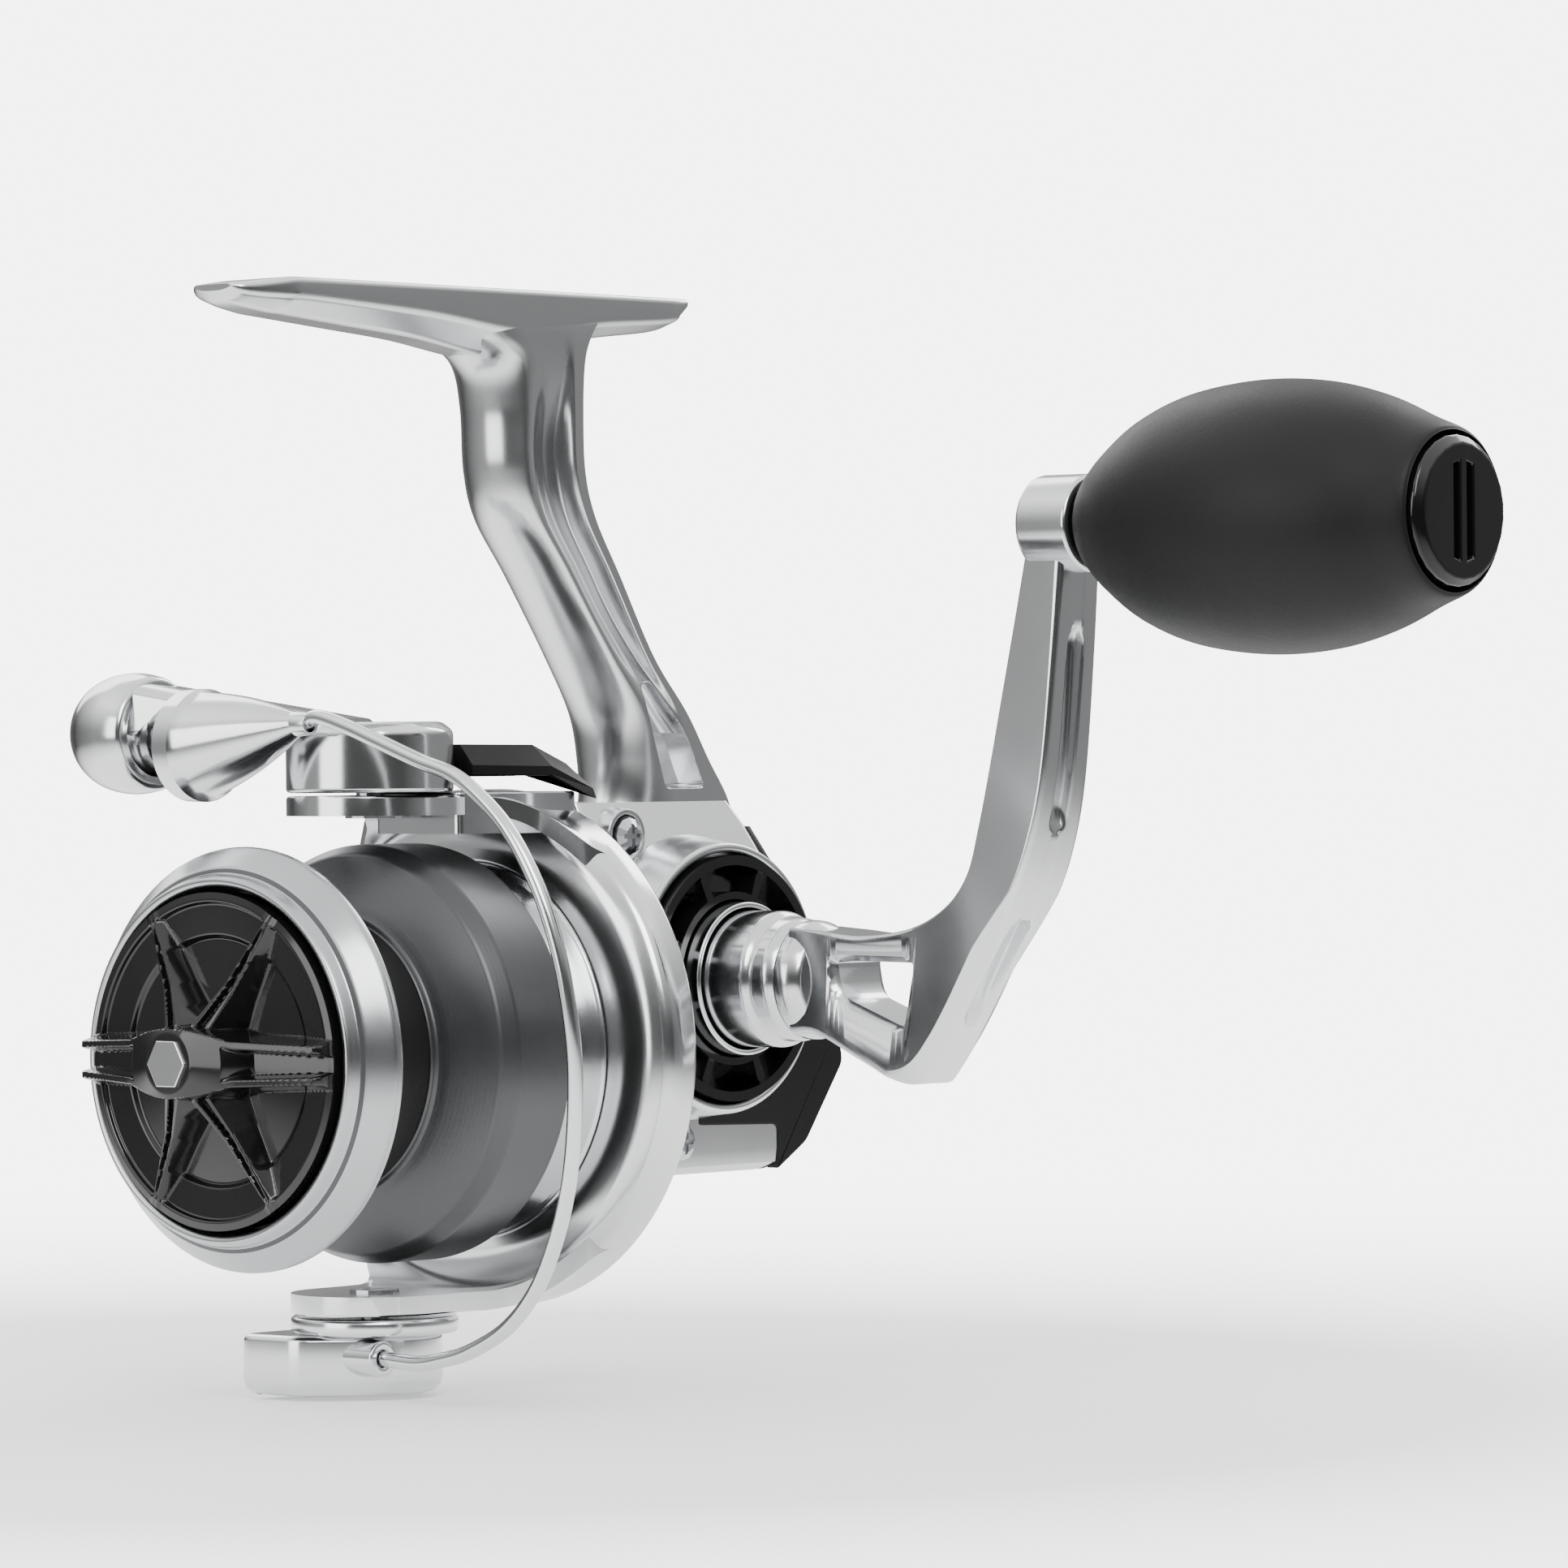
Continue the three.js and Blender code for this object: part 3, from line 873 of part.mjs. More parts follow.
const KNOB_SHAFT_R = 2.2;

function makeCollar() {
  const profile = [[-BODY_HALF - 3.0, STUB_R + 0.6], [-BODY_HALF - 3.0, COLLAR_R], [-24.6, COLLAR_R], [-25.4, COLLAR_R - 0.7],
    [-27.2, COLLAR_R - 0.7], [HUB_Y, 5.9], [HUB_Y, STUB_R + 0.6]];
  return turned('Y', DRIVE, profile, ROUND);
}

// Egg-shaped knob: radius along its length as a smooth bulge.
const knobY = (t) => KNOB_NECK_Y - KNOB_LENGTH * t;
const CAP_R = 7.6;

function knobProfile() {
  const shape = [[0, 4.9], [0.04, 6.2], [0.1, 8.3], [0.2, 11.0], [0.33, 13.0], [0.5, KNOB_R], [0.66, 13.5], [0.8, 12.0],
    [0.92, 9.8], [1, 8.5]];
  return shape.map(([t, radius]) => [knobY(t), radius * KNOB_R / 13.9]);
}

function makeKnob() {
  const bore = 3.4;
  const profile = knobProfile();
  const loop = [[knobY(0), bore], ...profile, [knobY(1), CAP_R + GAP], [knobY(1) + 3.2, CAP_R + GAP], [knobY(1) + 3.2, bore]];
  return turned('Y', KNOB_AXIS, loop, ROUND);
}

function makeKnobCap() {
  const cap = turned('Y', KNOB_AXIS, [[knobY(1) + 2.9, 0], [knobY(1) + 2.9, CAP_R], [knobY(1) - 0.4, CAP_R],
    [knobY(1) - 1.2, CAP_R - 0.9], [knobY(1) - 1.2, 0]], ROUND);
  const slot = [[-1.6, -4.6], [-0.6, -4.9], [-0.6, 4.9], [-1.6, 4.6]];
  const cut = (s) => plateXZ(slot.map(([a, b]) => [DRIVE_X + s * a, KNOB_Z + b]), knobY(1) - 3, knobY(1) + 0.4);
  return cap.subtract(cut(1)).subtract(cut(-1));
}

add('handle_arm', makeHandleArm(), CHROME);
add('handle_collar', makeCollar(), CHROME);
add('handle_stub', ring('Y', DRIVE, -31.2, BODY_HALF - 2.4, STUB_R, 0, 6), STEEL);
add('knob_shaft', ring('Y', KNOB_AXIS, knobY(1) + 4.6, BOSS_OUT_Y + 3.9, KNOB_SHAFT_R, 0, SMALL), STEEL);
add('knob_bearing', ring('Y', KNOB_AXIS, knobY(1) + 3.6, knobY(1) + 6.2, 3.1, KNOB_SHAFT_R + GAP, SMALL), STEEL);
add('handle_knob', makeKnob(), SOFT_BLACK);
add('knob_end_cap', makeKnobCap(), GLOSS_BLACK);

reel.position.set(-SEAT_X, 0, -SEAT_HEIGHT);

const part = new THREE.Group();
part.add(reel);

export default part;
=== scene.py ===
import json
import math
import bmesh
import bpy
import numpy as np
from mathutils import Matrix, Vector


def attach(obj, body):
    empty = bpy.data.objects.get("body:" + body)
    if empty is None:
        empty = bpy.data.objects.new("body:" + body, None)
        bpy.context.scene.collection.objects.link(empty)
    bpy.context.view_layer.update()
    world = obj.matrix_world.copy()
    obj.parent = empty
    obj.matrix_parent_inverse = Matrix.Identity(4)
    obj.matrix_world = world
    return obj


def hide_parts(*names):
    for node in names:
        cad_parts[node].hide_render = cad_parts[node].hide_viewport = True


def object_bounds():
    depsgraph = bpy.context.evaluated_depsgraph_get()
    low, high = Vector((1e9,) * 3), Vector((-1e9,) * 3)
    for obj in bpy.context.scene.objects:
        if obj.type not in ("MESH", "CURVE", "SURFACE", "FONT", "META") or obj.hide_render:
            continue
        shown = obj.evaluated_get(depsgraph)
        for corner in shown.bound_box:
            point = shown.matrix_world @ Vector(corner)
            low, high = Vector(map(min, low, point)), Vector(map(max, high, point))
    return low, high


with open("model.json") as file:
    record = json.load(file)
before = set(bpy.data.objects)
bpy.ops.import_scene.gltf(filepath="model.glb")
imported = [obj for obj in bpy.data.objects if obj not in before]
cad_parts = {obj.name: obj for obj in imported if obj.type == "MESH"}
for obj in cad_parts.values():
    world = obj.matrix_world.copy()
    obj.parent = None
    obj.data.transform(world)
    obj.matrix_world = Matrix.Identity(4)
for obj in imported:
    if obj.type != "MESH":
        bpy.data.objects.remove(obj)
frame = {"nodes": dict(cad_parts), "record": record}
cad_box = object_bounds()

# ---- Studio.
# A long lens looks at the spool end from the handle side. A pale floor lies just under the lowest point of
# the reel and fades out round it. Large soft lamps give the chrome bright panels and dark gaps to mirror.
camera = bpy.data.objects.new("camera", bpy.data.cameras.new("camera"))
camera.data.lens = 174.5
camera.data.sensor_width = 36.0
camera.data.clip_start = 0.01
camera.data.clip_end = 20.0
azimuth, elevation, roll = math.radians(41.09), math.radians(0.25), math.radians(-0.5)
level_way = Vector((math.cos(azimuth), math.sin(azimuth), 0.0))
look = math.cos(elevation) * level_way - Vector((0.0, 0.0, math.sin(elevation)))
right = Vector((math.sin(azimuth), -math.cos(azimuth), 0.0))
above = right.cross(look)
side = math.cos(roll) * right + math.sin(roll) * above
top = -math.sin(roll) * right + math.cos(roll) * above
camera.matrix_world = Matrix((side, top, -look)).transposed().to_4x4()
camera.location = (-0.5674, -0.5570, -0.0493)
bpy.context.scene.collection.objects.link(camera)
bpy.context.scene.camera = camera


class Wire:
    """One node output. Sums, differences, products, quotients and powers of wires become maths nodes."""

    def __init__(self, tree, socket):
        self.tree = tree
        self.socket = socket

    def join(self, operation, first, second):
        maths = self.tree.nodes.new("ShaderNodeMath")
        maths.operation = operation
        for slot, value in zip(maths.inputs, (first, second)):
            if isinstance(value, Wire):
                self.tree.links.new(value.socket, slot)
            else:
                slot.default_value = value
        return Wire(self.tree, maths.outputs[0])

    def __add__(self, other):
        return self.join("ADD", self, other)

    def __radd__(self, other):
        return self.join("ADD", other, self)

    def __sub__(self, other):
        return self.join("SUBTRACT", self, other)

    def __rsub__(self, other):
        return self.join("SUBTRACT", other, self)

    def __mul__(self, other):
        return self.join("MULTIPLY", self, other)

    def __rmul__(self, other):
        return self.join("MULTIPLY", other, self)

    def __truediv__(self, other):
        return self.join("DIVIDE", self, other)

    def __rtruediv__(self, other):
        return self.join("DIVIDE", other, self)

    def __pow__(self, other):
        return self.join("POWER", self, other)

    def limited(self, low, high):
        """The wire kept between two values."""
        return self.join("MINIMUM", self.join("MAXIMUM", self, low), high)


def node(tree, kind, inputs=None, output=0, **settings):
    """Adds a node, sets its settings, feeds its named inputs from wires or values, and returns one output."""
    made = tree.nodes.new(kind)
    for key, value in settings.items():
        setattr(made, key, value)
    for key, value in (inputs or {}).items():
        if isinstance(value, Wire):
            tree.links.new(value.socket, made.inputs[key])
        else:
            made.inputs[key].default_value = value
    return Wire(tree, made.outputs[output])


# What the metal mirrors: bright overhead and beyond the spool's front, grey behind the gear case, dark low
# down. The camera itself sees plain white.
world = bpy.data.worlds.new("studio")
bpy.context.scene.world = world
world.use_nodes = True
sky = world.node_tree
sky.nodes.clear()
direction = node(sky, "ShaderNodeTexCoord", output=0)
parts = sky.nodes.new("ShaderNodeSeparateXYZ")
sky.links.new(direction.socket, parts.inputs[0])
across = Wire(sky, parts.outputs[0])
along = Wire(sky, parts.outputs[1])
height = Wire(sky, parts.outputs[2])
overhead = ((height - 0.05) * 1.6).limited(0.0, 1.0)
ahead = ((0.0 - across) * 1.4).limited(0.0, 1.0)
away = (along * 1.5).limited(0.0, 1.0)
behind = (across * 1.3).limited(0.0, 1.0)
beyond_spool = ahead * away * (0.35 + 0.65 * overhead)
glow = 0.07 + 0.95 * beyond_spool + 0.24 * behind + 1.6 * overhead * overhead
seen = node(sky, "ShaderNodeLightPath", output=0)
strength = seen * 6.0 + (1.0 - seen) * glow
backdrop = node(sky, "ShaderNodeBackground", {"Color": (1.0, 1.0, 1.0, 1.0), "Strength": strength})
out = sky.nodes.new("ShaderNodeOutputWorld")
sky.links.new(backdrop.socket, out.inputs["Surface"])

for lamp_name, spot, aim, size, power in (
    ("key lamp", (-0.85, -0.95, 0.85), (0.02, 0.0, -0.06), 0.8, 14.0),
    ("spool lamp", (-1.3, 0.25, 0.2), (0.0, 0.0, -0.08), 0.8, 8.0),
    ("far lamp", (0.5, 1.1, 0.7), (0.0, 0.0, -0.06), 0.9, 7.0),
    ("rear lamp", (1.2, 0.1, 0.7), (0.0, 0.0, -0.06), 0.6, 6.0),
):
    lamp = bpy.data.objects.new(lamp_name, bpy.data.lights.new(lamp_name, "AREA"))
    lamp.data.size = size
    lamp.data.energy = power
    lamp.location = spot
    lamp.rotation_euler = (Vector(aim) - Vector(spot)).to_track_quat("-Z", "Y").to_euler()
    bpy.context.scene.collection.objects.link(lamp)

floor_mesh = bpy.data.meshes.new("floor")
reach = 1.2
low = cad_box[0][2] - 0.0005
edges = [(-reach, -reach, low), (reach, -reach, low), (reach, reach, low), (-reach, reach, low)]
floor_mesh.from_pydata(edges, [], [(0, 1, 2, 3)])
floor = bpy.data.objects.new("floor", floor_mesh)
bpy.context.scene.collection.objects.link(floor)
paper = bpy.data.materials.new("floor paper")
paper.use_nodes = True
sheet = paper.node_tree
card = sheet.nodes["Principled BSDF"]
card.inputs["Base Color"].default_value = (0.93, 0.93, 0.93, 1.0)
card.inputs["Roughness"].default_value = 0.7
card.inputs["Emission Color"].default_value = (1.0, 1.0, 1.0, 1.0)
card.inputs["Emission Strength"].default_value = 0.4
spread = node(sheet, "ShaderNodeTexCoord", output=3)
apart = sheet.nodes.new("ShaderNodeSeparateXYZ")
sheet.links.new(spread.socket, apart.inputs[0])
far_off = (Wire(sheet, apart.outputs[0]) ** 2.0 + Wire(sheet, apart.outputs[1]) ** 2.0) ** 0.5
fade = ((0.42 - far_off) / 0.3).limited(0.0, 1.0)
sheet.links.new((fade * fade).socket, card.inputs["Alpha"])
floor_mesh.materials.append(paper)

# ---- Rod foot and stem.
# One casting with the gear case: a thin foot that slides under the rod seat's hoods, and a slim stem with a
# rounded nose that leans back into the case. Polished all over.
SEAT = np.array((13.5, 0.0, 80.7))


def finish(name, colour, roughness, metallic, speckle, spread, dent, tone, coat=0.0, gleam=0.5):
    """A finish whose roughness, tone and surface relief follow one fine noise in the piece's own space."""
    material = bpy.data.materials.new(name)
    material.use_nodes = True
    tree = material.node_tree
    shader = tree.nodes["Principled BSDF"]
    shader.inputs["Metallic"].default_value = metallic
    shader.inputs["Specular IOR Level"].default_value = gleam
    shader.inputs["Coat Weight"].default_value = coat
    shader.inputs["Coat Roughness"].default_value = 0.05
    place = node(tree, "ShaderNodeTexCoord", output=3)
    fine = node(tree, "ShaderNodeTexNoise", {"Vector": place, "Scale": speckle, "Detail": 4.0})
    broad = node(tree, "ShaderNodeTexNoise", {"Vector": place, "Scale": speckle / 18.0, "Detail": 3.0})
    rough = (roughness + spread * (0.6 * fine + 0.8 * broad - 0.7)).limited(0.02, 1.0)
    tree.links.new(rough.socket, shader.inputs["Roughness"])
    shade = 1.0 + tone * (fine + broad - 1.0)
    red, green, blue = (shade * part for part in colour)
    tint = node(tree, "ShaderNodeCombineColor", {"Red": red, "Green": green, "Blue": blue})
    tree.links.new(tint.socket, shader.inputs["Base Color"])
    relief = node(tree, "ShaderNodeBump", {"Height": fine, "Strength": dent, "Distance": 0.00008})
    tree.links.new(relief.socket, shader.inputs["Normal"])
    return material


polished = finish("polished casting", (0.66, 0.67, 0.68), 0.22, 1.0, 260.0, 0.05, 0.03, 0.03)


def placed(points):
    """Points in millimetres round the spool's axis, moved into the frame of the rod seat, in metres."""
    return (np.asarray(points, float) - SEAT) / 1000.0


def flow(knots, count):
    """A smooth path through its knots: each stretch blends four knots and meets the middle two."""
    knots = np.asarray(knots, float)
    padded = np.vstack([2 * knots[0] - knots[1], knots, 2 * knots[-1] - knots[-2]])
    t = np.linspace(0, len(knots) - 1, count)
    i = np.minimum(t.astype(int), len(knots) - 2)
    f = (t - i)[:, None]
    a, b, c, d = padded[i], padded[i + 1], padded[i + 2], padded[i + 3]
    square, cube = 2 * a - 5 * b + 4 * c - d, 3 * b - 3 * c + d - a
    return 0.5 * (2 * b + (c - a) * f + square * f ** 2 + cube * f ** 3)


def surface(name, grid, material, body, closed=False, sharp=40.0):
    """A skin over a grid: columns run round the piece and meet, and each row joins the next. The last row
    joins the first where closed is set. Otherwise a flat face closes each end."""
    rows, columns = grid.shape[:2]
    index = np.arange(rows * columns).reshape(rows, columns)
    here = index if closed else index[:-1]
    there = np.roll(index, -1, 0) if closed else index[1:]
    quads = np.stack([here, np.roll(here, -1, 1), np.roll(there, -1, 1), there], -1).reshape(-1, 4)
    ends = [] if closed else [index[0, ::-1].tolist(), index[-1].tolist()]
    mesh = bpy.data.meshes.new(name)
    mesh.from_pydata(placed(grid.reshape(-1, 3)).tolist(), [], quads.tolist() + ends)
    shell = bmesh.new()
    shell.from_mesh(mesh)
    bmesh.ops.recalc_face_normals(shell, faces=shell.faces)
    shell.to_mesh(mesh)
    shell.free()
    mesh.shade_smooth()
    mesh.set_sharp_from_angle(angle=math.radians(sharp))
    mesh.materials.append(material)
    piece = bpy.data.objects.new(name, mesh)
    bpy.context.scene.collection.objects.link(piece)
    even = piece.modifiers.new("even shading", "WEIGHTED_NORMAL")
    even.keep_sharp = True
    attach(piece, body)
    return piece


# height, front of nose, rear face, half width
stem_line = flow([
    (79.2, 24.5, 52.6, 5.3), (77.6, 25.6, 50.0, 5.5), (75.6, 29.0, 48.3, 5.6), (73.0, 34.0, 47.2, 5.6),
    (68.3, 35.7, 46.8, 5.6), (61.6, 36.2, 47.0, 5.6), (56.5, 37.9, 48.6, 5.6), (50.4, 42.8, 52.3, 5.6),
    (41.7, 49.2, 57.6, 5.6), (35.6, 52.6, 63.0, 5.6), (30.5, 53.4, 66.6, 5.6), (26.6, 53.2, 69.6, 5.6),
    (23.0, 52.0, 71.2, 5.6),
], 150)
level, nose, rear, half = (stem_line[:, k][:, None] for k in range(4))
# Along the chord the nose is blunt, the flank is hollowed, and a rib stands at the rear.
u = 0.5 - 0.5 * np.cos(np.linspace(0.0, math.pi, 110))
nose_round = np.sqrt(np.clip(1 - np.clip(1 - u / 0.46, 0, 1) ** 2.2, 0, None))
rear_round = np.sqrt(np.clip(1 - (np.clip(u - 0.95, 0, 0.05) / 0.05) ** 2, 0, None))
hollow = np.clip((u - 0.16) / 0.42, 0, 1) * np.clip((0.83 - u) / 0.09, 0, 1)
run = np.clip((77.0 - level) / 14.0, 0, 1) * np.clip((level - 33.0) / 16.0, 0, 1)
hollow, run = (hollow * hollow * (3 - 2 * hollow))[None, :], run * run * (3 - 2 * run)
flank = half * nose_round * rear_round - 2.3 * hollow * run
stem_x = nose + (rear - nose) * np.concatenate([u, u[-2:0:-1]])[None, :]
stem_y = np.concatenate([flank, -flank[:, -2:0:-1]], 1)
stem_z = level + 0 * stem_x
stem = surface("reel_stem", np.stack([stem_x, stem_y, stem_z], -1), polished, "body", sharp=50.0)


def eased(corners, radius, steps=5):
    """Each corner of a closed outline gives way to a bend: a parabola from one side to the next."""
    corners = np.asarray(corners, float)
    back = np.roll(corners, 1, -2) - corners
    on = np.roll(corners, -1, -2) - corners
    back_length = np.linalg.norm(back, axis=-1, keepdims=True)
    on_length = np.linalg.norm(on, axis=-1, keepdims=True)
    start = corners + back / back_length * np.minimum(radius, 0.45 * back_length)
    end = corners + on / on_length * np.minimum(radius, 0.45 * on_length)
    t = np.linspace(0, 1, steps)[:, None]
    start, middle, end = start[..., None, :], corners[..., None, :], end[..., None, :]
    bend = (1 - t) ** 2 * start + 2 * t * (1 - t) * middle + t ** 2 * end
    return bend.reshape(corners.shape[:-2] + (-1, corners.shape[-1]))


def block(name, outline, levels, inset, material, body, ease=0.8, plane="XY"):
    """An outline with eased corners in one plane, repeated at each level across it. At each level it is drawn
    in towards its middle by that level's inset."""
    ring = eased(outline, ease)
    way = np.roll(ring, -1, 0) - np.roll(ring, 1, 0)
    inward = np.stack([-way[:, 1], way[:, 0]], 1) / np.linalg.norm(way, axis=1)[:, None]
    inward *= np.sign(((ring.mean(0) - ring) * inward).sum())
    flat = ring[None] + np.asarray(inset)[:, None, None] * inward
    a, b, c = flat[..., 0], flat[..., 1], np.asarray(levels)[:, None] + 0 * flat[..., 0]
    order = {"XY": (a, b, c), "XZ": (a, c, b), "YZ": (c, a, b)}[plane]
    return surface(name, np.stack(order, -1), material, body, sharp=45.0)


def cut(piece, cutters):
    """Takes the cutters' volumes out of the piece."""
    for cutter in cutters:
        step = piece.modifiers.new("cut", "BOOLEAN")
        step.operation = "DIFFERENCE"
        step.solver = "EXACT"
        step.object = cutter
    graph = bpy.context.evaluated_depsgraph_get()
    carved = bpy.data.meshes.new_from_object(piece.evaluated_get(graph), depsgraph=graph)
    piece.modifiers.clear()
    piece.data = carved
    for cutter in cutters:
        bpy.data.objects.remove(cutter)
    carved.shade_smooth()
    carved.set_sharp_from_angle(angle=math.radians(35))
    even = piece.modifiers.new("even shading", "WEIGHTED_NORMAL")
    even.keep_sharp = True


# A three-sided pocket is sunk into each flank where the stem spreads into the case.
pocket = [(55.4, 38.6), (59.0, 27.4), (65.2, 27.4), (62.4, 33.0), (57.0, 39.4)]
cut(stem, [block("pocket_near", pocket, [-7.0, -5.6, -2.4], [-0.1, 0.0, 0.3], polished, "body", 1.0, "XZ"),
           block("pocket_far", pocket, [2.4, 5.6, 7.0], [0.3, 0.0, -0.1], polished, "body", 1.0, "XZ")])
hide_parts("body_housing")

# position, half width, lower edge, keel below the flat top
foot_line = flow([
    (-3.9, 2.6, 1.2, 1.5), (-2.4, 3.9, 2.0, 2.8), (1.7, 5.2, 2.2, 3.6), (5.0, 5.6, 2.2, 3.9),
    (14.0, 5.6, 2.6, 4.7), (24.0, 5.6, 3.2, 5.6), (36.0, 5.6, 4.4, 7.2), (44.0, 5.6, 4.0, 6.4),
    (50.0, 5.6, 3.3, 4.8), (60.6, 5.5, 2.6, 3.6), (62.6, 5.3, 1.8, 2.6), (63.9, 5.0, 1.0, 1.3),
], 140)
x, half, lower, keel = (foot_line[:, k] for k in range(4))
top_z = SEAT[2] - 0.9 * np.clip((3.0 - x) / 6.9, 0, 1)
edge_z, keel_z = SEAT[2] - lower, SEAT[2] - keel
corners = np.stack([
    np.stack([x, -half, top_z], -1), np.stack([x, half, top_z], -1), np.stack([x, half, edge_z], -1),
    np.stack([x, 0.45 * half, keel_z], -1), np.stack([x, -0.45 * half, keel_z], -1),
    np.stack([x, -half, edge_z], -1),
], 1)
foot = surface("rod_foot", eased(corners, 0.7), polished, "body", sharp=60.0)

# ---- Gear case.
# The case is the lower half of the same casting, closed on the handle side by a screwed cover. Above the
# gears both sides lean in to the stem. The rear is a separate black moulding that wraps the back of the case
# and has a flap low on the handle side.
case_levels = np.array([-14.2, -14.0, -13.4, -11.9, -8.0, -2.9, 2.1,
                        7.0, 12.9, 16.5, 20.0, 23.6, 25.2, 26.0])
case_front = np.interp(case_levels, [-14.2, -13.4, -11.5], [47.6, 46.0, 43.8])
case_rear = np.interp(case_levels, [-14.2, -13.4, -11.9, -2.9, 2.1, 12.9, 23.6, 26.0],
                      [68.4, 71.0, 73.4, 79.9, 79.3, 72.8, 69.8, 68.6])
case_half = np.interp(case_levels, [-14.2, -13.9, -13.2, 16.5, 26.0], [9.9, 10.6, 11.0, 11.0, 6.1])


def tower(name, levels, x0, x1, y0, y1, material, ease=0.8):
    """Level by level, a rectangle with eased corners: its four sides follow the given values."""
    sides = ((x0, y0), (x1, y0), (x1, y1), (x0, y1))
    corners = np.stack([np.stack([x, y, levels], -1) for x, y in sides], 1)
    return surface(name, eased(corners, ease), material, "body", sharp=35.0)


seam, cover_seam = np.full(case_levels.shape, -2.5), np.full(case_levels.shape, -2.8)
case = tower("case_far_half", case_levels, case_front, case_rear, seam, case_half, polished)
cover = tower("case_side_cover", case_levels, case_front, case_rear, -case_half, cover_seam, polished)
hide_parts("side_cover")
moulded = finish("satin black moulding", (0.006, 0.006, 0.0065), 0.36, 0.0, 1500.0, 0.10, 0.10, 0.2,
                 gleam=0.25)
rear_levels = np.array([-14.2, -13.6, -11.3, -7.0, -2.4, 2.6, 8.0, 14.0, 18.5, 23.2])
rear_outer = np.interp(rear_levels, [-14.2, -13.6, -11.3, -2.4, 2.6, 14.0, 25.2],
                       [70.8, 73.0, 75.6, 82.4, 81.6, 74.8, 70.6])
rear_half = np.interp(rear_levels, [-14.2, -12.8, 16.5, 26.0], [9.4, 10.4, 10.4, 6.0])
rear = tower("case_rear_cover", rear_levels, rear_outer - 3.6, rear_outer, -rear_half, rear_half,
             moulded, 1.2)
flap = block("case_rear_flap", [(57.5, -9.0), (70.4, -9.4), (70.4, -14.4), (75.4, -11.4), (81.6, -2.9),
                                (81.0, 1.0), (72.0, 4.0), (60.0, 0.0)],
             [-11.1, -11.06, -10.9, -9.6], [0.35, 0.1, 0.0, 0.0], moulded, "body", 0.7, "XZ")
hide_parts("rear_cover")

spin = np.linspace(0, 2 * math.pi, 144, endpoint=False)


def turned(name, axis, centre, profile, material, body, ease=0.3):
    """A profile of (place along the axis, radius) with eased corners, carried once round the axis."""
    outline = eased(profile, ease, 4)
    along, radius = outline[:, 0][:, None], outline[:, 1][:, None]
    u, v = radius * np.cos(spin), radius * np.sin(spin)
    along = along + 0 * u
    order = {"X": (along, u, v), "Y": (u, along, v), "Z": (u, v, along)}[axis]
    return surface(name, np.stack(order, -1) + np.asarray(centre, float), material, body, closed=True,
                   sharp=50.0)


drive_axis = (56.5, 0.0, 7.06)
flange = turned("front_flange", "X", (0, 0, 0), [(39.8, 8.5), (39.8, 24.7), (41.4, 24.7), (41.4, 10.8),
                                                 (44.2, 10.8), (44.2, 6.9)], polished, "body")
nose_tube = turned("clutch_tube", "X", (0, 0, 0), [(36.2, 8.4), (36.2, 10.8), (40.0, 10.8), (40.0, 8.4)],
                   polished, "body")
far_boss = turned("far_boss", "Y", drive_axis, [(9.5, 6.8), (9.5, 9.2), (12.8, 8.9), (12.8, 6.8)], polished,
                  "body", 0.5)
near_boss = turned("near_boss", "Y", drive_axis, [(-10.2, 13.5), (-10.2, 15.5), (-12.5, 15.0),
                                                  (-16.6, 14.5), (-16.6, 13.5)], polished, "body", 0.45)
pad = turned("screw_pad", "Y", (49.0, 0.0, 22.4), [(-8.9, 2.3), (-8.9, 2.95), (-6.0, 3.2), (-6.0, 2.3)],
             polished, "body", 0.2)

# ---- Castle ring, seal ring and caps.
# A gloss black moulded ring with a floor, two rims and eight spokes fills the boss round the handle shaft. A
# chrome ring seals its middle.
gloss = finish("gloss black moulding", (0.005, 0.005, 0.0055), 0.12, 0.0, 1200.0, 0.05, 0.02, 0.1, 0.3, 0.4)
chrome = finish("chrome plate", (0.68, 0.69, 0.70), 0.17, 1.0, 300.0, 0.04, 0.015, 0.02)
r = np.concatenate([[8.5, 8.5], np.linspace(8.52, 9.3, 5), np.linspace(9.34, 12.1, 10),
                    np.linspace(12.14, 13.18, 6), [13.2, 13.2]])[:, None]
bearing = np.linspace(0, 2 * math.pi, 480, endpoint=False)[None, :]
spoke = np.abs(np.sin(4 * (bearing - math.pi / 8))) * r / 4 < 0.62
front_y = np.where((r < 9.32) | (r > 12.12), -17.5, np.where(spoke, -17.2, -14.0))
front_y[0] = -12.6
front_y[-1] = -12.6
ring_x, ring_z = drive_axis[0] + r * np.cos(bearing), drive_axis[2] + r * np.sin(bearing)
ring_grid = np.stack([ring_x, front_y, ring_z], -1)
castle = surface("castle_trim", ring_grid, gloss, "body", closed=True, sharp=30.0)
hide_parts("castle_ring")
seal = turned("shaft_seal", "Y", drive_axis, [(-12.6, 7.6), (-12.6, 8.2), (-19.5, 8.2), (-19.5, 7.6)],
              chrome, "body", 0.25)
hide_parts("seal_ring")
cap = turned("far_cap", "Y", drive_axis, [(11.3, 6.3), (13.1, 6.3), (13.1, 8.7), (14.2, 8.7), (15.0, 7.4),
                                          (15.0, 0.05), (11.3, 0.05)], moulded, "body", 0.4)
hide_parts("far_side_cap")

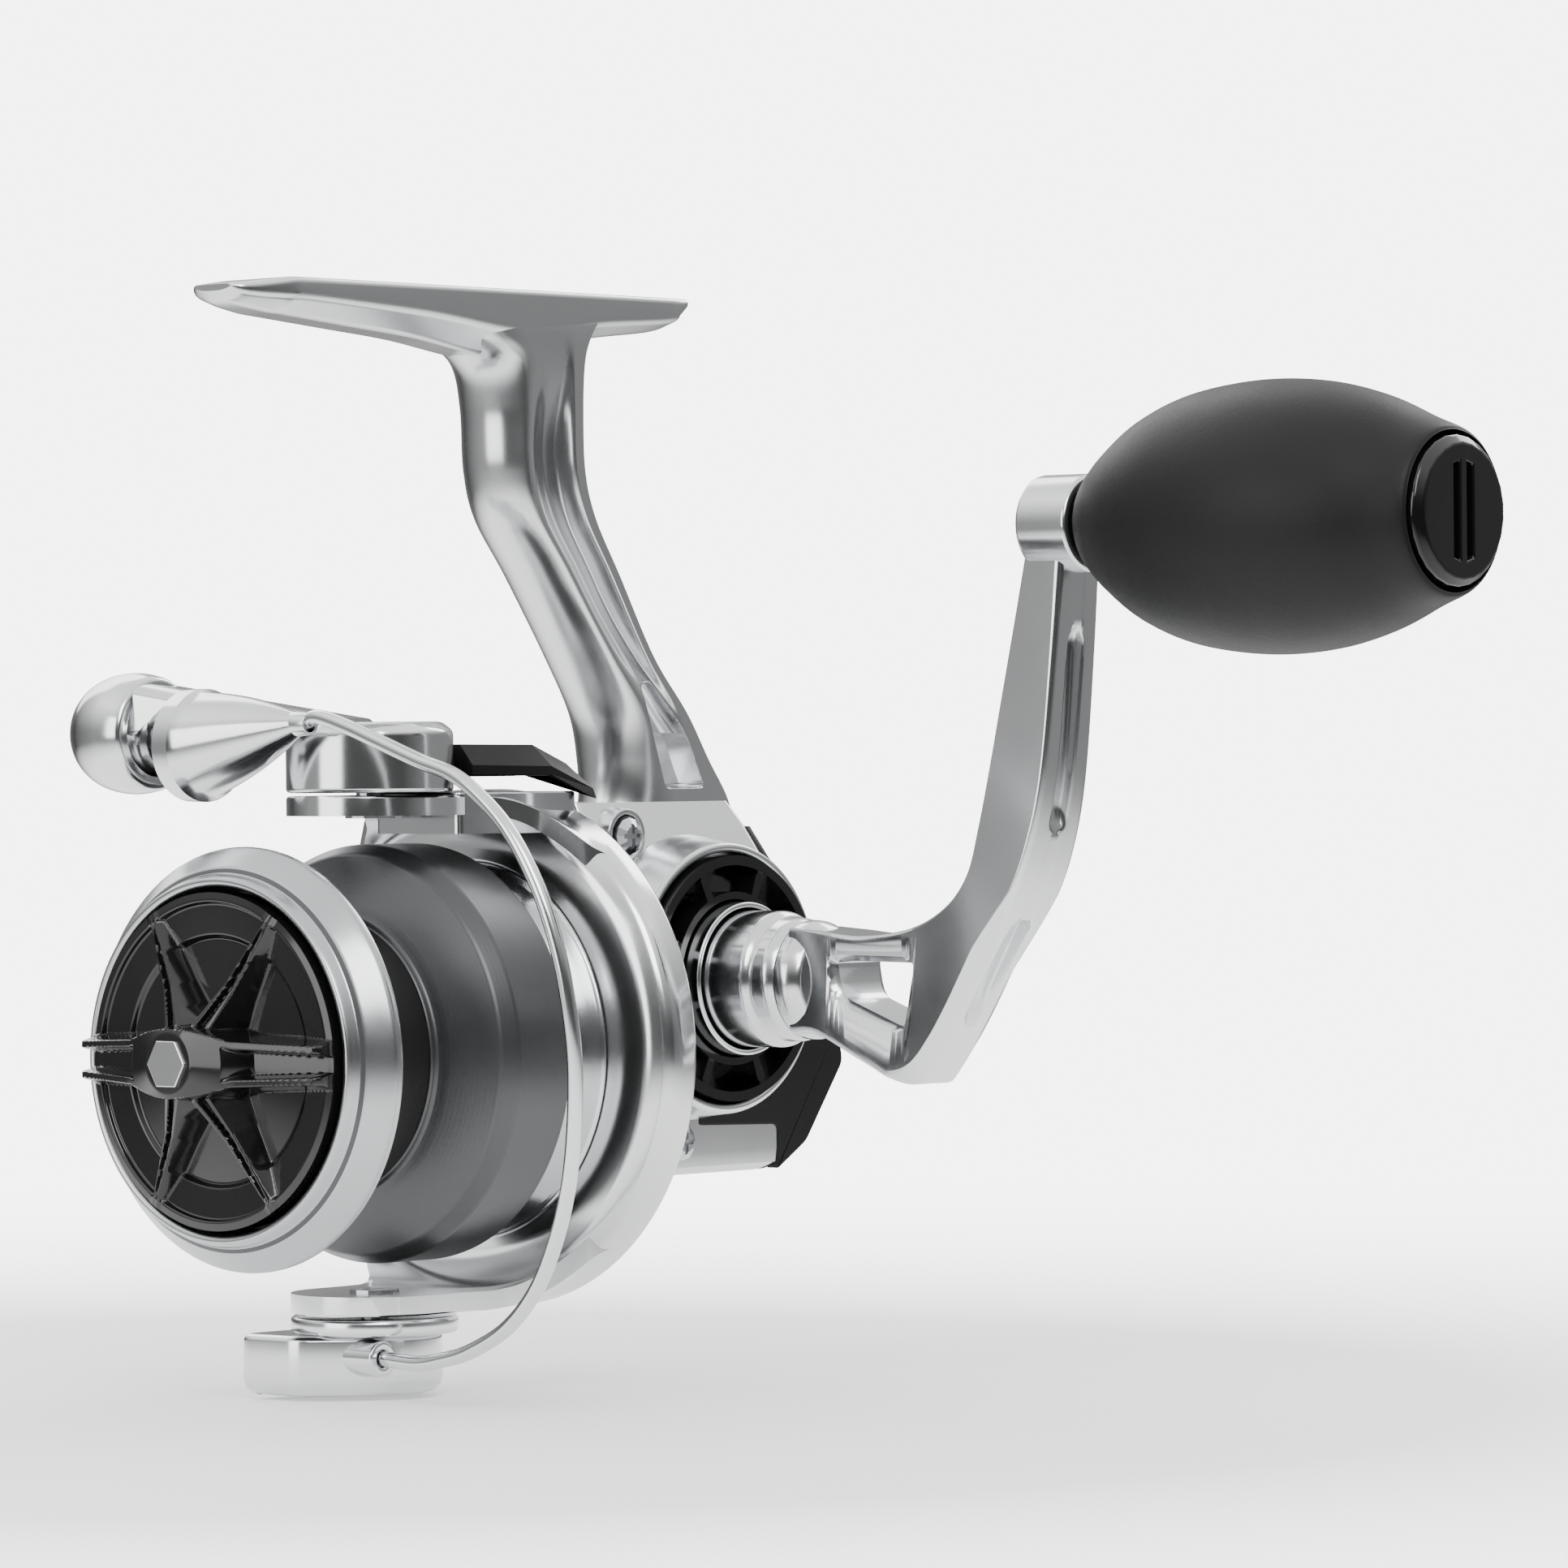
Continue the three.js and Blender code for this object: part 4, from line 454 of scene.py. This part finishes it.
# ---- Rotor.
# A chromed bell with a rolled rear ring. Two arms reach forward from the ring, outside the spool, and carry
# the bail's pivots. A saddle on the upper arm carries a black shell over the bail's spring and kick rod.
bell_profile = [
    (29.6, 3.4), (29.6, 6.2), (32.8, 7.0), (32.8, 18.1), (25.4, 18.1), (25.4, 19.6), (33.4, 19.6),
    (33.4, 22.0), (33.9, 25.2), (35.0, 27.2), (36.4, 27.6), (39.2, 27.6), (39.2, 25.6), (37.0, 24.2),
    (35.5, 11.8), (35.5, 3.4),
]
bell = turned("rotor_bell", "X", (0, 0, 0), bell_profile, chrome, "rotor", 0.7)
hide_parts("rotor")
pivot = (18.7, 0.0, 0.0)
eye = 8.8
eye_x = pivot[0] - eye * np.cos(np.linspace(0.02, math.pi / 2, 14))
x = np.concatenate([eye_x, np.linspace(19.4, 38.6, 46)])
arm_half = np.interp(x, [pivot[0], 22.5, 25.5, 28.0, 31.0, 34.5, 38.6],
                     [eye, 8.75, 9.0, 10.0, 12.4, 17.0, 20.0])
eye_half = np.sqrt(np.clip(eye ** 2 - (x - pivot[0]) ** 2, 0.2, None))
arm_half = np.where(x < pivot[0], eye_half, arm_half)
share = np.linspace(-1, 1, 41)
y = arm_half[:, None] * share
blend = np.clip((x - 26.0) / 9.0, 0, 1)[:, None]
blend = blend * blend * (3 - 2 * blend)
crown = (1 - blend) * 27.1 + blend * np.sqrt(27.6 ** 2 - y ** 2)
crown = crown - 0.25 * np.clip((np.abs(share) - 0.9) / 0.1, 0, 1) ** 2
under = (1 - blend) * 25.0 + blend * np.sqrt(25.4 ** 2 - y ** 2)
along = x[:, None] + 0 * y
loop = np.concatenate([np.stack([along, y, crown], -1), np.stack([along, y, under], -1)[:, ::-1]], 1)
upper_arm = surface("rotor_arm_upper", loop, chrome, "rotor", sharp=45.0)
lower_arm = surface("rotor_arm_lower", loop * np.array((1.0, 1.0, -1.0)), chrome, "rotor", sharp=45.0)
saddle = block("rotor_arm_saddle", [(23.0, -8.7), (28.0, -9.7), (32.0, -10.6), (38.6, -11.2), (38.6, 3.4),
                                    (23.0, 3.4)],
               [23.0, 27.1, 27.3, 27.35], [0.0, 0.0, 0.1, 0.35], chrome, "rotor", 0.7)


def rounded_copy(name, cad_name, material, body, width):
    """The CAD piece's own shape with its doubles merged, its flat faces joined and its edges bevelled."""
    mesh = frame["nodes"][cad_name].data.copy()
    mesh.name = name
    shell = bmesh.new()
    shell.from_mesh(mesh)
    bmesh.ops.remove_doubles(shell, verts=shell.verts, dist=1e-6)
    bmesh.ops.dissolve_limit(shell, angle_limit=math.radians(2.0), verts=shell.verts, edges=shell.edges)
    shell.to_mesh(mesh)
    shell.free()
    mesh.materials.clear()
    mesh.materials.append(material)
    mesh.shade_smooth()
    mesh.set_sharp_from_angle(angle=math.radians(32))
    piece = bpy.data.objects.new(name, mesh)
    bpy.context.scene.collection.objects.link(piece)
    bevel = piece.modifiers.new("eased edges", "BEVEL")
    bevel.width = width / 1000.0
    bevel.segments = 3
    bevel.limit_method = "ANGLE"
    bevel.angle_limit = math.radians(32)
    bevel.harden_normals = True
    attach(piece, body)
    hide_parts(cad_name)
    return piece


trim = rounded_copy("arm_shell", "arm_trim", moulded, "rotor", 0.5)

# ---- Bail.
# A chromed link turns on the upper arm and ends in a ball that holds the line roller. A cone leads the line
# up to the roller, and the wire runs from its tip round the front of the spool to the lower lever.
hub = turned("bail_hub", "Z", pivot, [(27.4, 1.8), (27.4, eye), (33.8, eye), (34.8, 7.6), (34.8, 0.05),
                                      (31.6, 0.05), (31.6, 1.8)], chrome, "bail", 0.5)
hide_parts("bail_arm")
t = np.linspace(0.05, 1, 40)[:, None]
centre = np.concatenate([pivot[0] - 12.2 * t, 23.0 * t], 1)
ahead = np.array((-12.2, 23.0)) / math.hypot(12.2, 23.0)
beside = np.array((ahead[1], -ahead[0]))
half = 7.6 - 2.7 * t + 0.4 * np.sin(math.pi * t)
bottom = 33.1 + 0.4 * t - 1.2 * np.clip(t - 0.75, 0, 1)
high = 35.0 + 4.6 * t
offsets = np.array((-1.0, 1.0, 1.0, 0.62, -0.62, -1.0))
link_xy = centre[:, None, :] + (half * offsets)[:, :, None] * beside
link_z = np.concatenate([bottom, bottom, high - 0.9, high, high, high - 0.9], 1)
link = surface("bail_link", eased(np.concatenate([link_xy, link_z[:, :, None]], -1), 0.9), chrome, "bail",
               sharp=50.0)
roller_x = 6.5
ball_y = np.array((19.1, 19.2, 20.6, 23.0, 25.6, 27.6, 28.9, 29.5, 29.6))
ball_r = np.array((4.6, 5.75, 6.25, 6.4, 5.9, 4.75, 3.1, 1.5, 0.05))
ball_line = flow(np.stack([ball_y, ball_r], 1), 60)
ball_line[:, 1] = np.clip(ball_line[:, 1], 0.03, None)
ball_line = np.vstack([ball_line, (20.8, 0.03), (20.8, 4.6)])
ball_place, ball_radius = ball_line[:, :1] + 0 * spin, ball_line[:, 1:]
ball_x, ball_z = roller_x + ball_radius * np.cos(spin), 33.8 + ball_radius * np.sin(spin)
ball_grid = np.stack([ball_x, ball_place, ball_z], -1)
ball = surface("bail_ball", ball_grid, chrome, "bail", closed=True, sharp=50.0)
q = np.linspace(0.04, 1, 24)
cone_root = [(14.9, 32.5, 4.6), (14.6, 32.5, 5.45), (14.1, 32.5, 5.9), (11.9, 32.5, 5.95), (11.2, 32.6, 5.5)]
cone_taper = 5.5 - 4.5 * q + 0.45 * np.sin(math.pi * q)
cone_line = np.vstack([cone_root, np.stack([11.2 - 13.3 * q, 32.6 + 2.0 * q, cone_taper], 1)])
cone_place, cone_height, cone_radius = cone_line[:, :1] + 0 * spin, cone_line[:, 1:2], cone_line[:, 2:]
cone_x, cone_z = roller_x + cone_radius * np.cos(spin), cone_height + cone_radius * np.sin(spin)
cone_grid = np.stack([cone_x, cone_place, cone_z], -1)
cone = surface("line_cone", cone_grid, chrome, "bail", sharp=22.0)
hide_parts("bail_cone")
roller_profile = [(15.2, 2.3), (15.2, 4.3), (16.0, 4.1), (17.2, 3.6), (18.8, 3.6), (20.2, 4.2), (20.5, 4.3),
                  (20.5, 2.3)]
roller = turned("roller_sleeve", "Y", (roller_x, 0.0, 33.3), roller_profile, chrome, "roller", 0.25)
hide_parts("line_roller")


def tube(name, path, radius, material, body, sides=24):
    """A circle carried along a path: at each point it stands square to the path's direction."""
    direction = np.gradient(path, axis=0)
    direction /= np.linalg.norm(direction, axis=1)[:, None]
    hint = np.array((0.25, 0.1, 0.96))
    first = np.cross(direction, hint)
    first /= np.linalg.norm(first, axis=1)[:, None]
    second = np.cross(direction, first)
    turn = np.linspace(0, 2 * math.pi, sides, endpoint=False)[None, :, None]
    ring = np.cos(turn) * first[:, None, :] + np.sin(turn) * second[:, None, :]
    grid = path[:, None, :] + radius * ring
    return surface(name, grid, material, body, sharp=60.0)


wire_path = flow([
    (6.5, -2.4, 34.6), (6.3, -4.8, 35.3), (6.0, -9.4, 34.2), (5.7, -14.0, 32.7), (5.4, -20.0, 30.7),
    (5.1, -25.6, 29.0), (5.1, -30.6, 25.6), (5.2, -34.0, 21.8), (5.5, -36.9, 16.6), (6.0, -38.7, 10.8),
    (6.5, -39.5, 5.4), (7.1, -39.6, 0.2), (7.8, -38.8, -6.0), (8.6, -37.2, -12.2), (9.4, -34.6, -18.0),
    (10.3, -31.0, -23.1), (11.1, -26.2, -27.2), (11.9, -20.3, -29.9), (12.4, -16.0, -31.0),
    (12.8, -12.0, -31.6), (13.2, -6.7, -31.4),
], 260)
wire_piece = tube("bail_hoop", wire_path, 0.8, chrome, "bail")
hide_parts("bail_wire")
tip = turned("hoop_ferrule", "Y", (6.5, 0.0, 34.6), [(-0.6, 0.9), (-0.6, 1.35), (-3.4, 1.15), (-3.4, 0.85)],
             chrome, "bail", 0.12)

swing = np.radians(np.linspace(-100, 60, 9))
lever_plan = np.vstack([np.stack([pivot[0] + 7.2 * np.cos(swing), 7.2 * np.sin(swing)], 1),
                        [(15.0, 9.2), (9.2, 9.6), (7.8, 8.8), (8.0, 1.2), (12.4, -4.0)]])
lever = block("bail_foot", lever_plan, [-29.1, -29.3, -29.8, -33.9, -34.7, -35.3, -35.5],
              [0.8, 0.25, 0.0, 0.0, 0.25, 0.9, 1.7], chrome, "bail", 1.4)
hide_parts("bail_lever")
plate = turned("bail_foot_plate", "Z", pivot, [(-27.4, 1.8), (-27.4, eye), (-29.2, eye), (-29.2, 1.8)],
               chrome, "bail", 0.5)
socket = turned("hoop_socket", "Y", (13.2, 0.0, -31.4), [(-6.6, 0.9), (-6.6, 1.9), (0.5, 2.1), (0.5, 0.9)],
                chrome, "bail", 0.3)

# ---- Spool.
# Turned from aluminium and anodised dark grey, with fine tool rings. The lip and the front ring are bright. A
# soft band on the arbor grips the line.
spool_grey = finish("anodised spool", (0.088, 0.09, 0.094), 0.34, 0.85, 700.0, 0.08, 0.03, 0.06)
tree = spool_grey.node_tree
place = node(tree, "ShaderNodeTexCoord", output=3)
split = tree.nodes.new("ShaderNodeSeparateXYZ")
tree.links.new(place.socket, split.inputs[0])
side_y, side_z = Wire(tree, split.outputs[1]), Wire(tree, split.outputs[2]) + float(SEAT[2]) / 1000.0
radius = (side_y * side_y + side_z * side_z) ** 0.5
phase = (radius + Wire(tree, split.outputs[0])) * 9000.0
rings = phase.join("SINE", phase, 0.0)
relief = node(tree, "ShaderNodeBump", {"Height": rings, "Strength": 0.03, "Distance": 0.00004})
tree.links.new(relief.socket, tree.nodes["Principled BSDF"].inputs["Normal"])
bright = finish("diamond cut lip", (0.44, 0.45, 0.46), 0.24, 1.0, 500.0, 0.05, 0.02, 0.03)
spool_profile = [
    (7.6, 2.3), (7.6, 12.6), (0.6, 12.6), (0.6, 17.9), (-3.2, 17.9), (-3.2, 18.9), (-2.6, 19.9),
    (-1.2, 20.9), (0.9, 21.2), (2.3, 16.9), (3.0, 14.7), (3.9, 14.7), (3.9, 13.8), (12.3, 13.8),
    (12.3, 14.7), (13.1, 14.7), (13.6, 15.9), (16.1, 21.0), (17.9, 22.0), (25.7, 22.0), (25.7, 20.8),
    (18.1, 20.8), (16.6, 19.4), (13.0, 12.3), (9.8, 11.7), (9.8, 6.6), (17.0, 6.6), (17.0, 2.3),
]
spool = turned("line_spool", "X", (0, 0, 0), spool_profile, spool_grey, "spool", 0.35)
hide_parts("spool")
lip_profile = [
    (-4.2, 18.2), (-4.3, 18.7), (-3.9, 19.0), (-2.9, 19.3), (-2.6, 19.9), (-1.0, 21.4), (-0.3, 22.0),
    (0.6, 22.0), (1.5, 21.0), (2.4, 17.2), (1.6, 17.2), (-3.0, 17.95), (-3.9, 17.9),
]
lip = turned("spool_lip", "X", (0, 0, 0), lip_profile, bright, "spool", 0.3)
soft = finish("soft black rubber", (0.0075, 0.0075, 0.008), 0.48, 0.0, 2600.0, 0.16, 0.22, 0.25, 0.0, 0.22)
band = turned("arbor_grip_band", "X", (0, 0, 0), [(4.2, 14.1), (4.2, 14.75), (12.0, 14.75), (12.0, 14.1)],
              soft, "spool", 0.15)
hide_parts("arbor_band")

# ---- Drag knob.
# One gloss black moulding: a dished disc with six ribs to the rim, two of them raised as a finger grip, and a
# plain six-sided bright badge set in the middle.
r = np.concatenate([[1.0], np.linspace(1.4, 17.35, 110), [17.4, 17.4, 17.0, 16.0, 1.0]])[:, None]
bearing = np.linspace(0, 2 * math.pi, 720, endpoint=False)[None, :]
reach = r[:, 0]
floor_x = np.interp(reach, [0, 4.6, 6.0, 12.6, 13.1, 16.2, 16.5, 17.4],
                    [-5.6, -5.6, -4.4, -3.7, -4.1, -4.4, -5.0, -4.8])[:, None]
grip_top = np.interp(reach, [0, 3.2, 8.0, 16.9, 17.4], [-11.4, -11.2, -9.4, -7.2, -6.4])[:, None]
grip_half = np.interp(reach, [0, 2.5, 7.5, 17.4], [4.2, 4.0, 2.3, 1.9])[:, None]
channel = np.interp(reach, [6.6, 8.0, 17.4], [0.0, 2.6, 2.2])[:, None]
rib_top = np.interp(reach, [0, 4.0, 8.7, 16.0, 17.4], [-9.6, -8.8, -6.9, -5.3, -4.9])[:, None]
rib_half = np.interp(reach, [0, 4.0, 8.7, 16.4, 17.4], [3.4, 2.9, 1.9, 0.9, 0.9])[:, None]
flat = np.abs(np.sin(bearing)) * r
grip_share = np.clip((grip_half + 0.6 - flat) / 0.6, 0, 1)
channel_share = np.clip((grip_half - 0.7 - flat) / 0.45, 0, 1)
front_x = floor_x + (grip_top - floor_x) * grip_share + channel * channel_share
for lean in (60.0, 120.0):
    away = np.abs(np.sin(bearing - math.radians(lean))) * r
    ridge = np.clip((rib_half - away) / rib_half, 0, 1)
    rib_share = np.clip(away / (0.2 * rib_half), 0.75, 1) * np.clip(ridge * 1.6, 0, 1)
    front_x = np.minimum(front_x, floor_x + (rib_top - floor_x) * rib_share)
front_x = front_x + 0 * bearing
front_x[0] = -10.6
front_x[-4:] = np.array((-2.2, -1.3, -1.2, -1.2))[:, None]
knob_grid = np.stack([front_x, r * np.cos(bearing), r * np.sin(bearing)], -1)
drag = surface("star_drag_knob", knob_grid, gloss, "drag_knob", closed=True, sharp=60.0)
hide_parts("drag_knob")
badge = rounded_copy("plain_badge", "drag_knob_badge", chrome, "drag_knob", 0.12)

# ---- Handle.
# A chromed casting cranks outwards from the collar to the knob's boss. A window pierces its elbow and two
# slots are sunk in its outer edge. The collar screws to the drive shaft. The knob has a soft black skin and a
# gloss cap.
inner_edge = flow([(-29.0, 5.6), (-33.0, 5.3), (-38.9, 4.9), (-45.5, 5.7), (-50.4, 8.0), (-53.3, 11.4),
                   (-54.8, 16.4), (-56.1, 22.0), (-57.8, 30.0), (-59.6, 38.6), (-61.2, 46.6)], 160)
outer_edge = flow([(-29.0, -5.6), (-32.6, -5.7), (-38.5, -8.3), (-44.6, -10.7), (-47.6, -8.2), (-53.6, 0.4),
                   (-58.6, 8.0), (-61.3, 13.6), (-63.2, 21.1), (-64.7, 34.0), (-65.8, 46.6)], 160)
rise = np.clip(inner_edge[:, 1] / 46.6, 0, 1)
half = 4.5 - 1.2 * rise
across_way = inner_edge - outer_edge
across_way /= np.linalg.norm(across_way, axis=1)[:, None]
lies = outer_edge[:, 1]
facet = 0.45 + 1.9 * np.clip((-outer_edge[:, 0] - 42.0) / 4.0, 0, 1) * np.clip((9.0 - lies) / 8.0, 0, 1)
depth = np.full(160, 0.02)
wide = np.full(160, 0.9)
for start, end, deep, broad in ((-4.5, 6.5, 2.2, 1.7), (15.5, 36.5, 1.5, 1.25)):
    inside = np.clip(np.minimum(lies - start, end - lies) / 1.4, 0, 1) * (outer_edge[:, 0] < -47.5)
    depth = depth + deep * np.sqrt(inside)
    wide = np.where(inside > 0, 0.25 + (broad - 0.25) * np.sqrt(inside * (2 - inside)), wide)
arm_corners = []
flush = 0 * facet
for x_off, inwards in ((-half, None), (-half, facet), (-half + 0.8 * facet, flush), (-wide, flush),
                       (-0.8 * wide, depth), (0.8 * wide, depth), (wide, flush),
                       (half - 0.8 * facet, flush), (half, facet), (half, None)):
    line = inner_edge if inwards is None else outer_edge + inwards[:, None] * across_way
    arm_corners.append(np.concatenate([(drive_axis[0] + x_off)[:, None], line + drive_axis[1:]], 1))
arm = surface("crank_arm", eased(np.stack(arm_corners, 1), 0.35, 3), chrome, "drive", sharp=35.0)
window = [(-33.8, 10.1), (-34.8, 4.9), (-44.8, 1.2), (-46.6, 9.9)]
cut(arm, [block("window", window, [50.0, 51.9, 53.3, 59.7, 61.1, 63.0], [-0.1, 0.0, 0.8, 0.8, 0.0, -0.1],
                chrome, "drive", 1.9, "YZ")])
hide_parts("handle_arm")
crank_hub = turned("crank_hub", "Y", drive_axis, [(-28.2, 2.6), (-28.2, 6.4), (-29.8, 6.3), (-31.4, 5.4),
                                                  (-31.4, 2.6)], chrome, "drive", 0.5)
collar = turned("crank_collar", "Y", drive_axis, [(-14.0, 2.7), (-14.0, 7.3), (-24.6, 7.3), (-25.4, 6.6),
                                                  (-27.2, 6.6), (-28.4, 5.9), (-28.4, 2.7)], chrome,
                "drive", 0.45)
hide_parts("handle_collar")
knob_axis = (drive_axis[0], 0.0, 54.56)
boss = turned("crank_boss", "Y", knob_axis, [(-60.8, 0.05), (-60.8, 5.1), (-67.5, 5.1), (-67.5, 2.5),
                                             (-63.4, 2.5), (-63.4, 0.05)], chrome, "drive", 0.5)
t = np.array((0, 0.015, 0.04, 0.1, 0.2, 0.33, 0.5, 0.66, 0.8, 0.92, 0.985, 1.0))
egg_r = np.array((4.2, 5.0, 6.2, 8.3, 11.0, 13.0, 13.9, 13.5, 12.0, 9.8, 8.7, 8.1))
egg = flow(np.stack([-67.8 - 45.2 * t, egg_r], 1), 110)
egg = np.vstack([egg, (-112.4, 7.9), (-109.8, 7.9), (-109.8, 3.4), (-67.8, 3.4)])
egg_x, egg_z = knob_axis[0] + egg[:, 1:] * np.cos(spin), knob_axis[2] + egg[:, 1:] * np.sin(spin)
egg_grid = np.stack([egg_x, egg[:, :1] + 0 * spin, egg_z], -1)
knob = surface("egg_knob", egg_grid, soft, "knob", closed=True, sharp=50.0)
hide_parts("handle_knob")
end_cap = rounded_copy("knob_cap", "knob_end_cap", gloss, "knob", 0.25)

# ---- Small and inner pieces.
# Screws, bearings, gears, shafts and washers keep their own shape, each with a machined, cast or moulded
# finish.
steel = finish("turned steel", (0.55, 0.56, 0.58), 0.28, 1.0, 1400.0, 0.12, 0.05, 0.05)
brass = finish("cut brass", (0.60, 0.43, 0.17), 0.30, 1.0, 1400.0, 0.12, 0.05, 0.06)
felt = finish("oiled felt", (0.07, 0.055, 0.04), 0.9, 0.0, 4200.0, 0.1, 0.8, 0.5)
nylon = finish("natural nylon", (0.68, 0.65, 0.57), 0.5, 0.0, 1800.0, 0.1, 0.05, 0.05)
by_slot = {"chrome": chrome, "polished": polished, "steel": steel, "brass": brass, "felt": felt,
           "nylon": nylon, "spool_grey": spool_grey, "gloss_black": gloss, "satin_black": moulded,
           "soft_black": soft}
for entry in frame["record"]["subparts"]:
    kept = frame["nodes"][entry["node"]]
    kept.data.materials.clear()
    kept.data.materials.append(by_slot[entry["material_slot"]])
